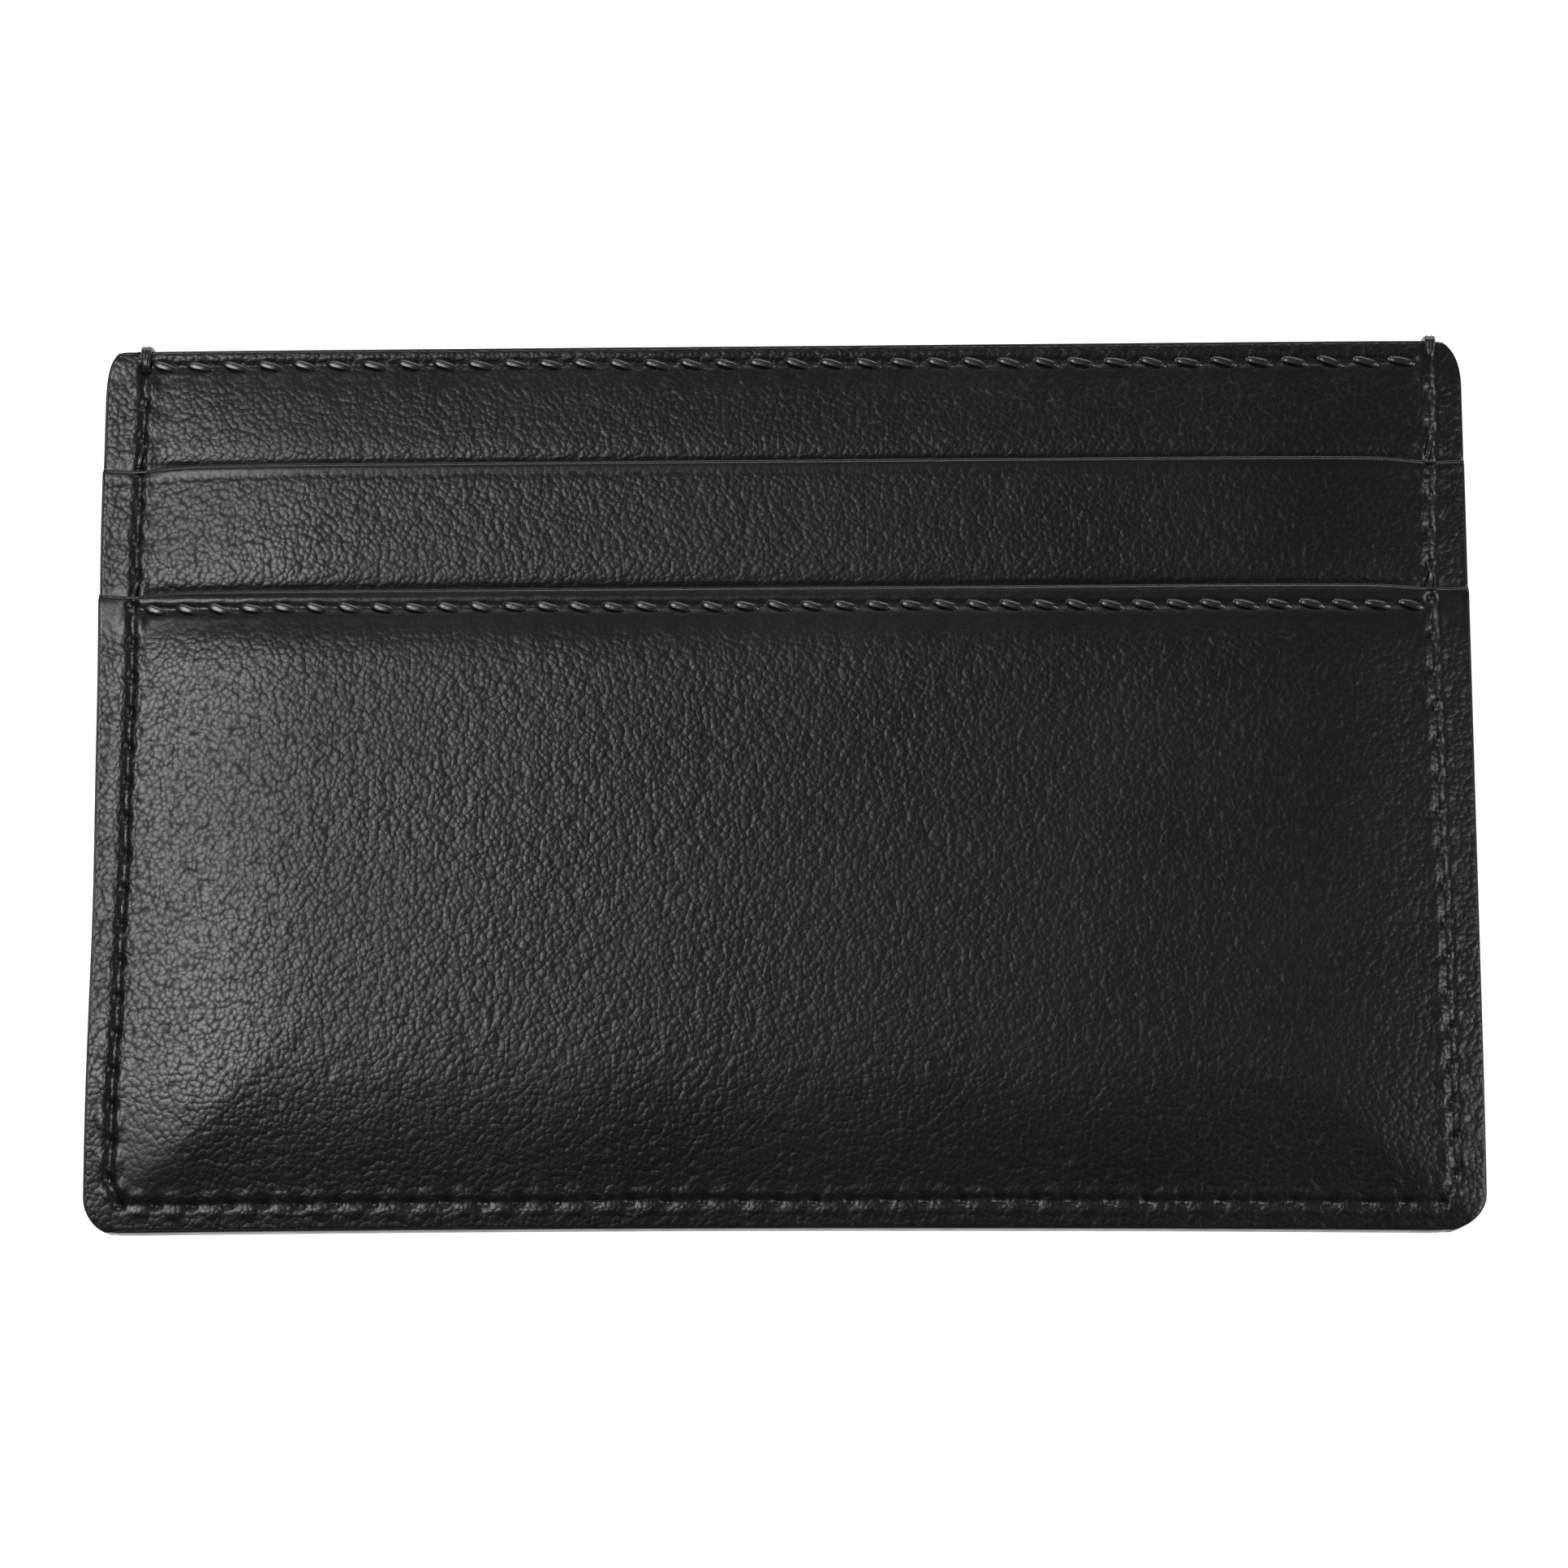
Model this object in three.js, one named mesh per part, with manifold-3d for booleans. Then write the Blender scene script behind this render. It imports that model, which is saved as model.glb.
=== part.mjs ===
// A flat leather card holder: two sewn slots on each face and an open pocket through the middle.
// Millimetres. X runs along the width, +Y towards the mouths and +Z out of the front face.
// The origin is on the plane of the back face, under the middle of the outline.

import * as THREE from "three";
import { mergeVertices } from "three/addons/utils/BufferGeometryUtils.js";
import Module from "manifold-3d";

const wasm = await Module();
wasm.setup();

// ---- driving dimensions ----

// outline
const bodyWidth = 100;
const bodyHeight = 65.5;
const bottomCornerRadius = 3;
const topCornerRadius = 1.2;

// mouths, measured down from the top edge and from one lip to the next
const slotLipDrop = 9.1;
const pocketLipDrop = 9.6;

// height of the upper slot's floor: a 54 mm card standing on it ends just under the top edge
const slotFloorHeight = 11.1;

// leather, lining and the dressing on the cut edges
const pocketLeather = 0.6;
const slotLeather = 0.5;
const bodyLeather = 0.6;
const liningThickness = 0.1;
const edgeCoat = 0.25;

// what lies between two layers
const glueLine = 0.05;
const fitGap = 0.05;
const slotGap = 0.15;

// sewing thread, as pressed flat by the stitching on an outside face and inside a pocket
const threadWidth = 0.5;
const threadHeight = 0.25;
const insideThreadHeight = 0.2;

// where the rows of stitching run, in from the edge that each one follows
const sideSeamInset = 2.4;
const bottomSeamInset = 2;
const seamCornerRadius = 1.2;
const topRowInset = 1.45;
const lipRowInset = 1.5;
const footRowInset = 1.5;
const rowEndGap = 0.4;
const hookLength = 2;

// the line creased into the slot panels below their lips
const creaseInset = 1.2;
const creaseWidth = 0.3;
const creaseDepth = 0.1;

// how finely the corners are stepped
const cornerSteps = 6;

// ---- heights and distances worked out from them ----

// the side seam's thread is carried over the top edge, so it stands a little above the panels
const loopRise = fitGap + threadHeight;
const bottomEdge = -(bodyHeight + loopRise) / 2;
const topEdge = bottomEdge + bodyHeight;
const slotLip = topEdge - slotLipDrop;
const pocketLip = slotLip - pocketLipDrop;
const slotFloor = bottomEdge + slotFloorHeight;
const halfWidth = bodyWidth / 2;
const sideSeam = halfWidth - sideSeamInset;
const bottomSeam = bottomEdge + bottomSeamInset;
const rowEnd = sideSeam - threadWidth / 2 - rowEndGap;

// a gap that a row of thread lies in has the thread's height and clearance on both sides
const threadGap = insideThreadHeight + 2 * fitGap;

// the layers of one face, as distances out from the plane midway through the holder
const bodyLiningInner = threadGap;
const bodyLiningOuter = bodyLiningInner + liningThickness;
const bodyInner = bodyLiningOuter + glueLine;
const bodyOuter = bodyInner + bodyLeather;
const slotInner = bodyOuter + slotGap;
const slotOuter = slotInner + slotLeather;
const pocketLiningInner = slotOuter + threadGap;
const pocketLiningOuter = pocketLiningInner + liningThickness;
const pocketInner = pocketLiningOuter + glueLine;
const pocketOuter = pocketInner + pocketLeather;
const midPlane = pocketOuter;

// the panels stop short of the outline by the dressing on their edges
const panelInset = edgeCoat + fitGap;

const front = { name: "front", sign: 1 };
const back = { name: "back", sign: -1 };

// ---- solids ----

function toSolid(geometry) {
  geometry.deleteAttribute("normal");
  geometry.deleteAttribute("uv");
  const merged = mergeVertices(geometry);
  const vertProperties = new Float32Array(merged.attributes.position.array);
  const triVerts = new Uint32Array(merged.index.array);
  return new wasm.Manifold(new wasm.Mesh({ numProp: 3, vertProperties, triVerts }));
}

function toGeometry(solid) {
  const mesh = solid.getMesh();
  const geometry = new THREE.BufferGeometry();
  geometry.setAttribute("position", new THREE.BufferAttribute(mesh.vertProperties, 3));
  geometry.setIndex(new THREE.BufferAttribute(mesh.triVerts, 1));
  geometry.computeVertexNormals();
  return geometry;
}

// heights of a layer that lies from one distance to another out from the mid-plane
function layer(face, inner, outer) {
  const ends = [midPlane + face.sign * inner, midPlane + face.sign * outer];
  return { low: Math.min(...ends), high: Math.max(...ends) };
}

function plate(shape, { low, high }) {
  const options = { depth: high - low, bevelEnabled: false, curveSegments: cornerSteps };
  const geometry = new THREE.ExtrudeGeometry(shape, options);
  geometry.translate(0, 0, low);
  return toSolid(geometry);
}

function block(x, y, { low, high }) {
  const geometry = new THREE.BoxGeometry(x[1] - x[0], y[1] - y[0], high - low);
  geometry.translate((x[0] + x[1]) / 2, (y[0] + y[1]) / 2, (low + high) / 2);
  return toSolid(geometry);
}

// a rectangle with its own radius at the foot and at the head
function outlinePath(path, reach, foot, head, footRadius, headRadius) {
  path.moveTo(-reach + footRadius, foot);
  path.lineTo(reach - footRadius, foot);
  path.absarc(reach - footRadius, foot + footRadius, footRadius, -Math.PI / 2, 0);
  path.lineTo(reach, head - headRadius);
  path.absarc(reach - headRadius, head - headRadius, headRadius, 0, Math.PI / 2);
  path.lineTo(-reach + headRadius, head);
  path.absarc(-reach + headRadius, head - headRadius, headRadius, Math.PI / 2, Math.PI);
  path.lineTo(-reach, foot + footRadius);
  path.absarc(-reach + footRadius, foot + footRadius, footRadius, Math.PI, 1.5 * Math.PI);
  return path;
}

// a panel that fills the outline from its bottom edge up to a mouth
function panelShape(head, headRadius) {
  const innerHeadRadius = Math.max(headRadius - panelInset, 0);
  const footRadius = bottomCornerRadius - panelInset;
  const foot = bottomEdge + panelInset;
  const reach = halfWidth - panelInset;
  return outlinePath(new THREE.Shape(), reach, foot, head - panelInset, footRadius, innerHeadRadius);
}

// ---- stitching ----

// a U that runs down one side, along the bottom and up the other side
function seamShape(head, width) {
  const reach = sideSeam + width / 2;
  const inside = sideSeam - width / 2;
  const foot = bottomSeam - width / 2;
  const outerRadius = seamCornerRadius + width / 2;
  const innerRadius = seamCornerRadius - width / 2;
  const centreX = sideSeam - seamCornerRadius;
  const centreY = bottomSeam + seamCornerRadius;
  const shape = new THREE.Shape();
  shape.moveTo(-reach, head);
  shape.lineTo(-reach, centreY);
  shape.absarc(-centreX, centreY, outerRadius, Math.PI, 1.5 * Math.PI);
  shape.lineTo(centreX, foot);
  shape.absarc(centreX, centreY, outerRadius, -Math.PI / 2, 0);
  shape.lineTo(reach, head);
  shape.lineTo(inside, head);
  shape.absarc(centreX, centreY, innerRadius, 0, -Math.PI / 2, true);
  shape.lineTo(-centreX, bottomSeam + width / 2);
  shape.absarc(-centreX, centreY, innerRadius, 1.5 * Math.PI, Math.PI, true);
  shape.lineTo(-inside, head);
  return shape;
}

// one straight length of the side seams, on both sides, grown all round by a clearance
function sideBars(y, inner, outer, face, clearance) {
  const heights = layer(face, inner - clearance, outer + clearance);
  const reach = threadWidth / 2 + clearance;
  const span = [y[0] - clearance, y[1] + clearance];
  const left = block([-sideSeam - reach, -sideSeam + reach], span, heights);
  const right = block([sideSeam - reach, sideSeam + reach], span, heights);
  return left.add(right);
}

// the run of thread on one face, which steps down in front of each lip on its way to the top
function seamRun(face, height, head, clearance) {
  const offLip = fitGap + height;
  const run = layer(face, pocketOuter - height - clearance, pocketOuter + clearance);
  const bars = [
    [[pocketLip + fitGap, pocketLip + offLip], slotOuter - height, pocketOuter],
    [[pocketLip + fitGap, slotLip + offLip], slotOuter - height, slotOuter],
    [[slotLip + fitGap, slotLip + offLip], bodyOuter - height, slotOuter],
    [[slotLip + fitGap, head], bodyOuter - height, bodyOuter],
  ];
  let seam = plate(seamShape(pocketLip + offLip + clearance, threadWidth + 2 * clearance), run);
  for (const [y, inner, outer] of bars) {
    seam = seam.add(sideBars(y, inner, outer, face, clearance));
  }
  return seam;
}

// the needle thread: down the front, and hooked over the top edge at both side seams
function needleSeam(clearance) {
  const loopTop = topEdge + loopRise;
  const overTop = [topEdge + fitGap, loopTop];
  const hook = [topEdge - hookLength, loopTop];
  return seamRun(front, threadHeight, loopTop, clearance)
    .add(sideBars(overTop, -bodyOuter, bodyOuter, front, clearance))
    .add(sideBars(hook, bodyOuter - threadHeight, bodyOuter, back, clearance));
}

// the bobbin thread: the same seam on the back, ending under the needle thread's hooks
function bobbinSeam(clearance) {
  const head = topEdge - hookLength - rowEndGap;
  return seamRun(back, threadHeight, head, clearance);
}

// a straight row of stitching across the holder, grown all round by a clearance
function row(face, y, inner, outer, clearance) {
  const reach = threadWidth / 2 + clearance;
  const x = [-rowEnd - clearance, rowEnd + clearance];
  return block(x, [y - reach, y + reach], layer(face, inner - clearance, outer + clearance));
}

function topNeedleRow(face, clearance) {
  return row(face, topEdge - topRowInset, bodyOuter - threadHeight, bodyOuter, clearance);
}

function topBobbinRow(face) {
  return row(face, topEdge - topRowInset, fitGap, fitGap + insideThreadHeight, 0);
}

function lipNeedleRow(face, clearance) {
  return row(face, pocketLip - lipRowInset, pocketOuter - threadHeight, pocketOuter, clearance);
}

function lipBobbinRow(face) {
  const inner = slotOuter + fitGap;
  return row(face, pocketLip - lipRowInset, inner, inner + insideThreadHeight, 0);
}

function footNeedleRow(face) {
  const inner = slotOuter + fitGap;
  return row(face, slotFloor, inner, inner + insideThreadHeight, 0);
}

function footBobbinRow(face, clearance) {
  return row(face, slotFloor, bodyInner, bodyInner + insideThreadHeight, clearance);
}

// ---- panels and linings ----

function pocketPanel(face) {
  return plate(panelShape(pocketLip, 0), layer(face, pocketInner, pocketOuter))
    .subtract(seamGroove(face))
    .subtract(lipNeedleRow(face, fitGap));
}

function pocketLining(face) {
  return plate(panelShape(pocketLip, 0), layer(face, pocketLiningInner, pocketLiningOuter));
}

function slotPanel(face) {
  const reach = halfWidth - panelInset;
  const foot = slotFloor - footRowInset;
  const creaseY = slotLip - creaseInset;
  const creaseLayer = layer(face, slotOuter - creaseDepth, slotOuter + creaseDepth);
  const creaseSpan = [creaseY - creaseWidth / 2, creaseY + creaseWidth / 2];
  return block([-reach, reach], [foot, slotLip - panelInset], layer(face, slotInner, slotOuter))
    .subtract(block([-rowEnd, rowEnd], creaseSpan, creaseLayer))
    .subtract(seamGroove(face));
}

function bodyPanel(face) {
  return plate(panelShape(topEdge, topCornerRadius), layer(face, bodyInner, bodyOuter))
    .subtract(seamGroove(face))
    .subtract(topNeedleRow(face, fitGap))
    .subtract(footBobbinRow(face, fitGap));
}

function bodyLining(face) {
  const shape = panelShape(topEdge, topCornerRadius);
  return plate(shape, layer(face, bodyLiningInner, bodyLiningOuter));
}

// room for the seam in a panel of one face; the needle thread's hooks reach round to the back
function seamGroove(face) {
  return face === front ? needleSeam(fitGap) : needleSeam(fitGap).add(bobbinSeam(fitGap));
}

// ---- dressing on the cut edges ----

// the whole edge of the holder up to one mouth
function coatRing(head, headRadius, heights) {
  const innerHeadRadius = Math.max(headRadius - edgeCoat, 0);
  const foot = bottomEdge + edgeCoat;
  const reach = halfWidth - edgeCoat;
  const footRadius = bottomCornerRadius - edgeCoat;
  const shape = outlinePath(
    new THREE.Shape(), halfWidth, bottomEdge, head, bottomCornerRadius, headRadius);
  const hole = outlinePath(
    new THREE.Path(), reach, foot, head - edgeCoat, footRadius, innerHeadRadius);
  shape.holes.push(hole);
  return plate(shape, heights);
}

// where the dressing of a mouth ends and the dressing of the sides begins
function coatSplit(head, headRadius) {
  return head - Math.max(headRadius, edgeCoat) - fitGap;
}

function wholeWidth(low, high, heights) {
  return block([-bodyWidth, bodyWidth], [low, high], heights);
}

function lipCoat(face, head, headRadius, inner, outer) {
  const heights = layer(face, inner, outer);
  const window = wholeWidth(coatSplit(head, headRadius) + fitGap, head + edgeCoat, heights);
  return coatRing(head, headRadius, heights).intersect(window).subtract(seamGroove(face));
}

// sides and bottom, dressed in one pass after sewing, and stepped as the stack of layers is
function perimeterCoat() {
  const steps = [
    [pocketLip, 0, pocketOuter],
    [slotLip, 0, slotOuter],
    [topEdge, topCornerRadius, bodyOuter],
  ];
  const sides = steps.map(([head, headRadius, reach]) => {
    const heights = { low: midPlane - reach, high: midPlane + reach };
    const window = wholeWidth(bottomEdge - edgeCoat, coatSplit(head, headRadius), heights);
    return coatRing(head, headRadius, heights).intersect(window);
  });
  return sides.reduce((joined, side) => joined.add(side));
}

// ---- the holder ----

const finishes = {
  leather: { color: 0x1d1d1e, roughness: 0.55, metalness: 0 },
  lining: { color: 0x17171a, roughness: 0.85, metalness: 0 },
  thread: { color: 0x101011, roughness: 0.6, metalness: 0 },
  edge: { color: 0x262627, roughness: 0.35, metalness: 0 },
};

const holder = new THREE.Group();

function addPiece(name, solid, finish) {
  const material = new THREE.MeshStandardMaterial(finishes[finish]);
  const mesh = new THREE.Mesh(toGeometry(solid), material);
  mesh.name = name;
  holder.add(mesh);
}

function addFace(face) {
  const name = face.name;
  addPiece(`${name}_pocket_panel`, pocketPanel(face), "leather");
  addPiece(`${name}_pocket_lining`, pocketLining(face), "lining");
  addPiece(`${name}_slot_panel`, slotPanel(face), "leather");
  addPiece(`${name}_body_panel`, bodyPanel(face), "leather");
  addPiece(`${name}_body_lining`, bodyLining(face), "lining");

  addPiece(`${name}_top_needle_thread`, topNeedleRow(face, 0), "thread");
  addPiece(`${name}_top_bobbin_thread`, topBobbinRow(face), "thread");
  addPiece(`${name}_lip_needle_thread`, lipNeedleRow(face, 0), "thread");
  addPiece(`${name}_lip_bobbin_thread`, lipBobbinRow(face), "thread");
  addPiece(`${name}_foot_needle_thread`, footNeedleRow(face), "thread");
  addPiece(`${name}_foot_bobbin_thread`, footBobbinRow(face, 0), "thread");

  const pocketCoat = lipCoat(face, pocketLip, 0, pocketLiningInner, pocketOuter);
  const slotCoat = lipCoat(face, slotLip, 0, slotInner, slotOuter);
  const topCoat = lipCoat(face, topEdge, topCornerRadius, bodyLiningInner, bodyOuter);
  addPiece(`${name}_pocket_edge_coat`, pocketCoat, "edge");
  addPiece(`${name}_slot_edge_coat`, slotCoat, "edge");
  addPiece(`${name}_top_edge_coat`, topCoat, "edge");
}

addFace(front);
addFace(back);
addPiece("perimeter_needle_thread", needleSeam(0), "thread");
addPiece("perimeter_bobbin_thread", bobbinSeam(0), "thread");
addPiece("perimeter_edge_coat", perimeterCoat(), "edge");

export default holder;
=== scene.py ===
# %% [markdown]
# # A flat leather card holder
#
# The holder lies on its back: X runs along its width, +Y towards the mouths of its slots and +Z
# out of its front face. The plain solids of the design are loaded first. They say where every
# panel, seam and lip is, and each soft piece is then made again with the shape that real leather,
# thread and fabric take.

import bmesh
import bpy
import numpy as np
from mathutils import Matrix, Vector


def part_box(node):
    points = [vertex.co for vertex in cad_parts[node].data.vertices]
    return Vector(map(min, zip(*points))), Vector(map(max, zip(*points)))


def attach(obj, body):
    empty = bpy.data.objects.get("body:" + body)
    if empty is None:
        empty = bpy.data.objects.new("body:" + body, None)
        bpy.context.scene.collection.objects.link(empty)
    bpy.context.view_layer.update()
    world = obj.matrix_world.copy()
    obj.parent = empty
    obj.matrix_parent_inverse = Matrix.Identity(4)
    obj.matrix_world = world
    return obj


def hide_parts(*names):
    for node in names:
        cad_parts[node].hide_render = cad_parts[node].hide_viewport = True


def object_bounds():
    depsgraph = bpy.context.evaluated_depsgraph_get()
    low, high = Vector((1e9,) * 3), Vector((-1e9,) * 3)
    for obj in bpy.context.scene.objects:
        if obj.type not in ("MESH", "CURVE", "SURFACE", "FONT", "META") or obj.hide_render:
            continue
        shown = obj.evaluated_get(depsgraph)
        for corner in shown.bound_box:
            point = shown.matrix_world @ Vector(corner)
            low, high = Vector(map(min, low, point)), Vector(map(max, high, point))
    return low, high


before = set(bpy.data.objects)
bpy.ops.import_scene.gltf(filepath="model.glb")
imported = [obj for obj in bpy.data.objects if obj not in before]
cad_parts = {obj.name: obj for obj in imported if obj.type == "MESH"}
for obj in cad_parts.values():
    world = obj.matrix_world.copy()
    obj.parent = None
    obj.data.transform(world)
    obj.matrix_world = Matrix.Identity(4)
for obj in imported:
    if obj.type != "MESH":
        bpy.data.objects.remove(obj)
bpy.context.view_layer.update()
MM = 0.001


def edges_of(node):
    """The lowest and highest corner of a design piece, in millimetres."""
    low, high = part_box(node)
    return np.array(low) / MM, np.array(high) / MM


def centre_of(node):
    """The middle of a design piece, in millimetres."""
    low, high = edges_of(node)
    return (low + high) / 2


outline_low, outline_high = edges_of("perimeter_edge_coat")
HALF_WIDTH = outline_high[0]
BOTTOM = outline_low[1]
MIDDLE = (outline_low[2] + outline_high[2]) / 2
TOP = edges_of("front_top_edge_coat")[1][1]
SLOT_LIP = edges_of("front_slot_edge_coat")[1][1]
POCKET_LIP = edges_of("front_pocket_edge_coat")[1][1]
SLOT_FOOT = edges_of("front_slot_panel")[0][1]

thread_low, thread_high = edges_of("front_top_needle_thread")
THREAD = thread_high[1] - thread_low[1]
ROW_END = thread_high[0]
TOP_ROW = centre_of("front_top_needle_thread")[1]
LIP_ROW = centre_of("front_lip_needle_thread")[1]
FOOT_ROW = centre_of("front_foot_needle_thread")[1]
SIDE_SEAM = edges_of("perimeter_needle_thread")[1][0] - THREAD / 2
BOTTOM_SEAM = edges_of("perimeter_needle_thread")[0][1] + THREAD / 2

print(f"width {2 * HALF_WIDTH:.1f}, height {TOP - BOTTOM:.1f}")
print(f"lips at {POCKET_LIP:.1f} and {SLOT_LIP:.1f}")

# %% [markdown]
# ## Where the eye is
#
# The holder is seen almost straight on, from a little below and a little to the right, as if it
# lay on a table in front of the viewer. A long lens keeps its sides nearly parallel.

# %% Place the camera
LENS = 93.2
CAMERA_DISTANCE = 294.5
CAMERA_TILT = np.radians(10.3)
CAMERA_TURN = np.radians(9.7)
AIM = Vector((0.25, -0.27, MIDDLE))

sideways = np.sin(CAMERA_TILT) * np.sin(CAMERA_TURN)
downwards = np.sin(CAMERA_TILT) * np.cos(CAMERA_TURN)
towards_eye = Vector((sideways, -downwards, np.cos(CAMERA_TILT)))

camera_data = bpy.data.cameras.new("camera")
camera_data.lens = LENS
camera_data.sensor_width = 36.0
camera = bpy.data.objects.new("camera", camera_data)
bpy.context.scene.collection.objects.link(camera)
bpy.context.scene.camera = camera

camera_up = (Vector((0, 1, 0)) - towards_eye * towards_eye.y).normalized()
camera_right = camera_up.cross(towards_eye)
turn = Matrix((camera_right, camera_up, towards_eye)).transposed().to_4x4()
camera_place = (AIM + towards_eye * CAMERA_DISTANCE) * MM
camera.matrix_world = Matrix.Translation(camera_place) @ turn
print("camera at", [round(v, 4) for v in camera_place])

# %% [markdown]
# ## The stack of layers
#
# The design keeps every layer flat. Real leather is squeezed to its own thickness by the seams
# and swells gently between them. Each surface is therefore a height above the middle plane of
# the holder, written as a function of x and y: low along the seams, higher in between.

# %% How the layers swell between the seams
# each swell: how far in it reaches, and how fast it rises at first
SIDE_SWELL, SIDE_RISE = 14.0, 2.0
BOTTOM_SWELL, BOTTOM_RISE = 13.0, 1.9
DRAPE_RISE = 1.7
MITRE = 6.0
# near the sides the bottom swell is this much shorter, over this width
CORNER_SHORTER, CORNER_WIDTH = 4.5, 7.0
SEAM_SOFTNESS = 0.6
# where each side seam strays from a straight line, as (height, distance to the right)
SEAM_STRAY = {-1: ((-31, -0.5), (31.5, 0.6)),
              1: ((-31, 0.12), (-14, -0.1), (0, -0.3), (13.6, -0.5), (22, -0.22), (31.5, 0.1))}


def step(value, start, stop):
    """Goes smoothly from 0 at start to 1 at stop; stop may be the lower one."""
    share = np.clip((value - start) / (stop - start), 0, 1)
    return share * share * (3 - 2 * share)


def swell(distance, reach, power):
    """Rises quickly at the seam, without a kink, and flattens out a reach away from it."""
    softened = (distance + np.sqrt(distance ** 2 + SEAM_SOFTNESS ** 2)) / 2
    share = np.clip(softened / reach, 0, 1)
    return 1 - (1 - share) ** power


def seam_at(side, y):
    """Where a side seam is at height y: on the left for -1, on the right for 1."""
    return side * SIDE_SEAM + np.interp(y, *zip(*SEAM_STRAY[side]))


def from_side(x, y):
    """Distance to the nearer side seam, negative outside it."""
    return np.minimum(x - seam_at(-1, y), seam_at(1, y) - x)


def side_swell(x, y):
    """Share of the full height reached, going in from the nearer side seam."""
    return swell(from_side(x, y), SIDE_SWELL, SIDE_RISE)


def bottom_swell(x, y):
    """Share of the full height reached, going up from the bottom seam."""
    shorter = CORNER_SHORTER * np.exp(-(from_side(x, y) / CORNER_WIDTH) ** 2)
    return swell(y - BOTTOM_SEAM, BOTTOM_SWELL - shorter, BOTTOM_RISE)


WAVE_HEIGHT = 0.012
WAVE_LENGTHS = (41.0, 27.0, 19.0, 13.0)


def wave(x, y, seed, size):
    """Broad, shallow unevenness, as a few crossing waves with a seeded direction and phase."""
    draw = np.random.default_rng(seed)
    total = np.zeros(np.broadcast(x, y).shape)
    for length in WAVE_LENGTHS:
        angle, phase = draw.uniform(0, 2 * np.pi, 2)
        across = x * np.cos(angle) + y * np.sin(angle)
        share = size * length / WAVE_LENGTHS[0]
        total += share * np.sin(2 * np.pi * across / length + phase)
    return total


# heights above the middle plane where the stack is squeezed, and what it gains in between
BODY_LOW, BODY_GAIN = 0.74, 0.62
SLOT_LOW, SLOT_GAIN = 0.48, 0.10
POCKET_LOW, POCKET_GAIN = 0.72, 0.26
BODY_LEATHER, SLOT_LEATHER, POCKET_LEATHER = 0.6, 0.46, 0.58
FABRIC = 0.1
# how far the pocket's lip hangs down, and how much closer the two faces lie at the open end
LIP_DROOP, DROOP_REACH = 0.5, 4.2
MOUTH_CLOSING = 0.5
# the dip of a layer that goes in under a lip, and how lips and margins bend down at their edge
TUCK_DEPTH, TUCK_WIDTH = 0.32, 0.70
LIP_ROLL, LIP_ROLL_WIDTH = 0.16, 1.1
BOTTOM_ROLL, RIGHT_ROLL, ROLL_RISE = 0.20, 0.30, 1.5


def pillow(x, y):
    """The two swells, meeting at a soft mitre in the lower corners."""
    flat = (1 - side_swell(x, y)) ** MITRE + (1 - bottom_swell(x, y)) ** MITRE
    return 1 - np.clip(flat, 0, 1) ** (1 / MITRE)


def tucked(x, y, lip):
    """How far a layer dips where it goes in under a lip; it stays down below that lip."""
    free = step(side_swell(x, y), 0, 0.4) * step(bottom_swell(x, y), 0, 0.5)
    return TUCK_DEPTH * np.exp(-np.clip(y - lip, 0, None) / TUCK_WIDTH) * free


def lip_roll(y, lip):
    """The last millimetre of a stitched lip bends down."""
    return LIP_ROLL * np.clip((y - lip + LIP_ROLL_WIDTH) / LIP_ROLL_WIDTH, 0, 1) ** 2


def base_height(x, y, seed):
    """The outer face of the body panel before any lip presses on it."""
    closing = MOUTH_CLOSING * step(y, SLOT_LIP - 2, TOP) * side_swell(x, y)
    below = np.clip((BOTTOM_SEAM - y) / (BOTTOM_SEAM - BOTTOM), 0, 1)
    beside = np.clip((x - seam_at(1, y)) / (HALF_WIDTH - SIDE_SEAM), 0, 1)
    rolled = np.maximum(BOTTOM_ROLL * below ** ROLL_RISE, RIGHT_ROLL * beside ** ROLL_RISE)
    uneven = wave(x, y, seed + 1, WAVE_HEIGHT)
    return BODY_LOW + BODY_GAIN * pillow(x, y) - closing - rolled + uneven


def body_height(x, y, seed=0):
    """The body panel dips where it goes in under both lips, and bends down at its top edge."""
    lowered = tucked(x, y, SLOT_LIP) + tucked(x, y, POCKET_LIP) + 0.5 * lip_roll(y, TOP)
    return base_height(x, y, seed) - lowered


def slot_height(x, y, seed=0):
    """The slot panel ends at its foot, where its thickness stops being felt."""
    laid = step(y, SLOT_FOOT - 1.5, SLOT_FOOT + 1.5)
    gained = (SLOT_LOW + SLOT_GAIN * pillow(x, y)) * laid
    return base_height(x, y, seed) + gained - tucked(x, y, POCKET_LIP)


def pocket_height(x, y, seed=0):
    """The pocket hangs in one slope from the foot of the slot panel to the bottom seam."""
    full = pillow(x, y)
    drape = swell(y - BOTTOM_SEAM, SLOT_FOOT + 2 - BOTTOM_SEAM, DRAPE_RISE)
    droop = LIP_DROOP * step(y, LIP_ROW - DROOP_REACH, POCKET_LIP + 0.8) * side_swell(x, y)
    droop = droop + lip_roll(y, POCKET_LIP)
    under = base_height(x, y, seed) + (SLOT_LOW + SLOT_GAIN * full) * drape
    return under + POCKET_LOW + POCKET_GAIN * full - droop


middle = np.array([0.0])
print("heights in the middle:", body_height(middle, middle), pocket_height(middle, middle))

# %% [markdown]
# ## The outline
#
# The sides are cut and dressed by hand, so the outline is not quite a rectangle: each corner has
# its own radius. The leather stops short of the outline by the thickness of the edge paint.

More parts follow.
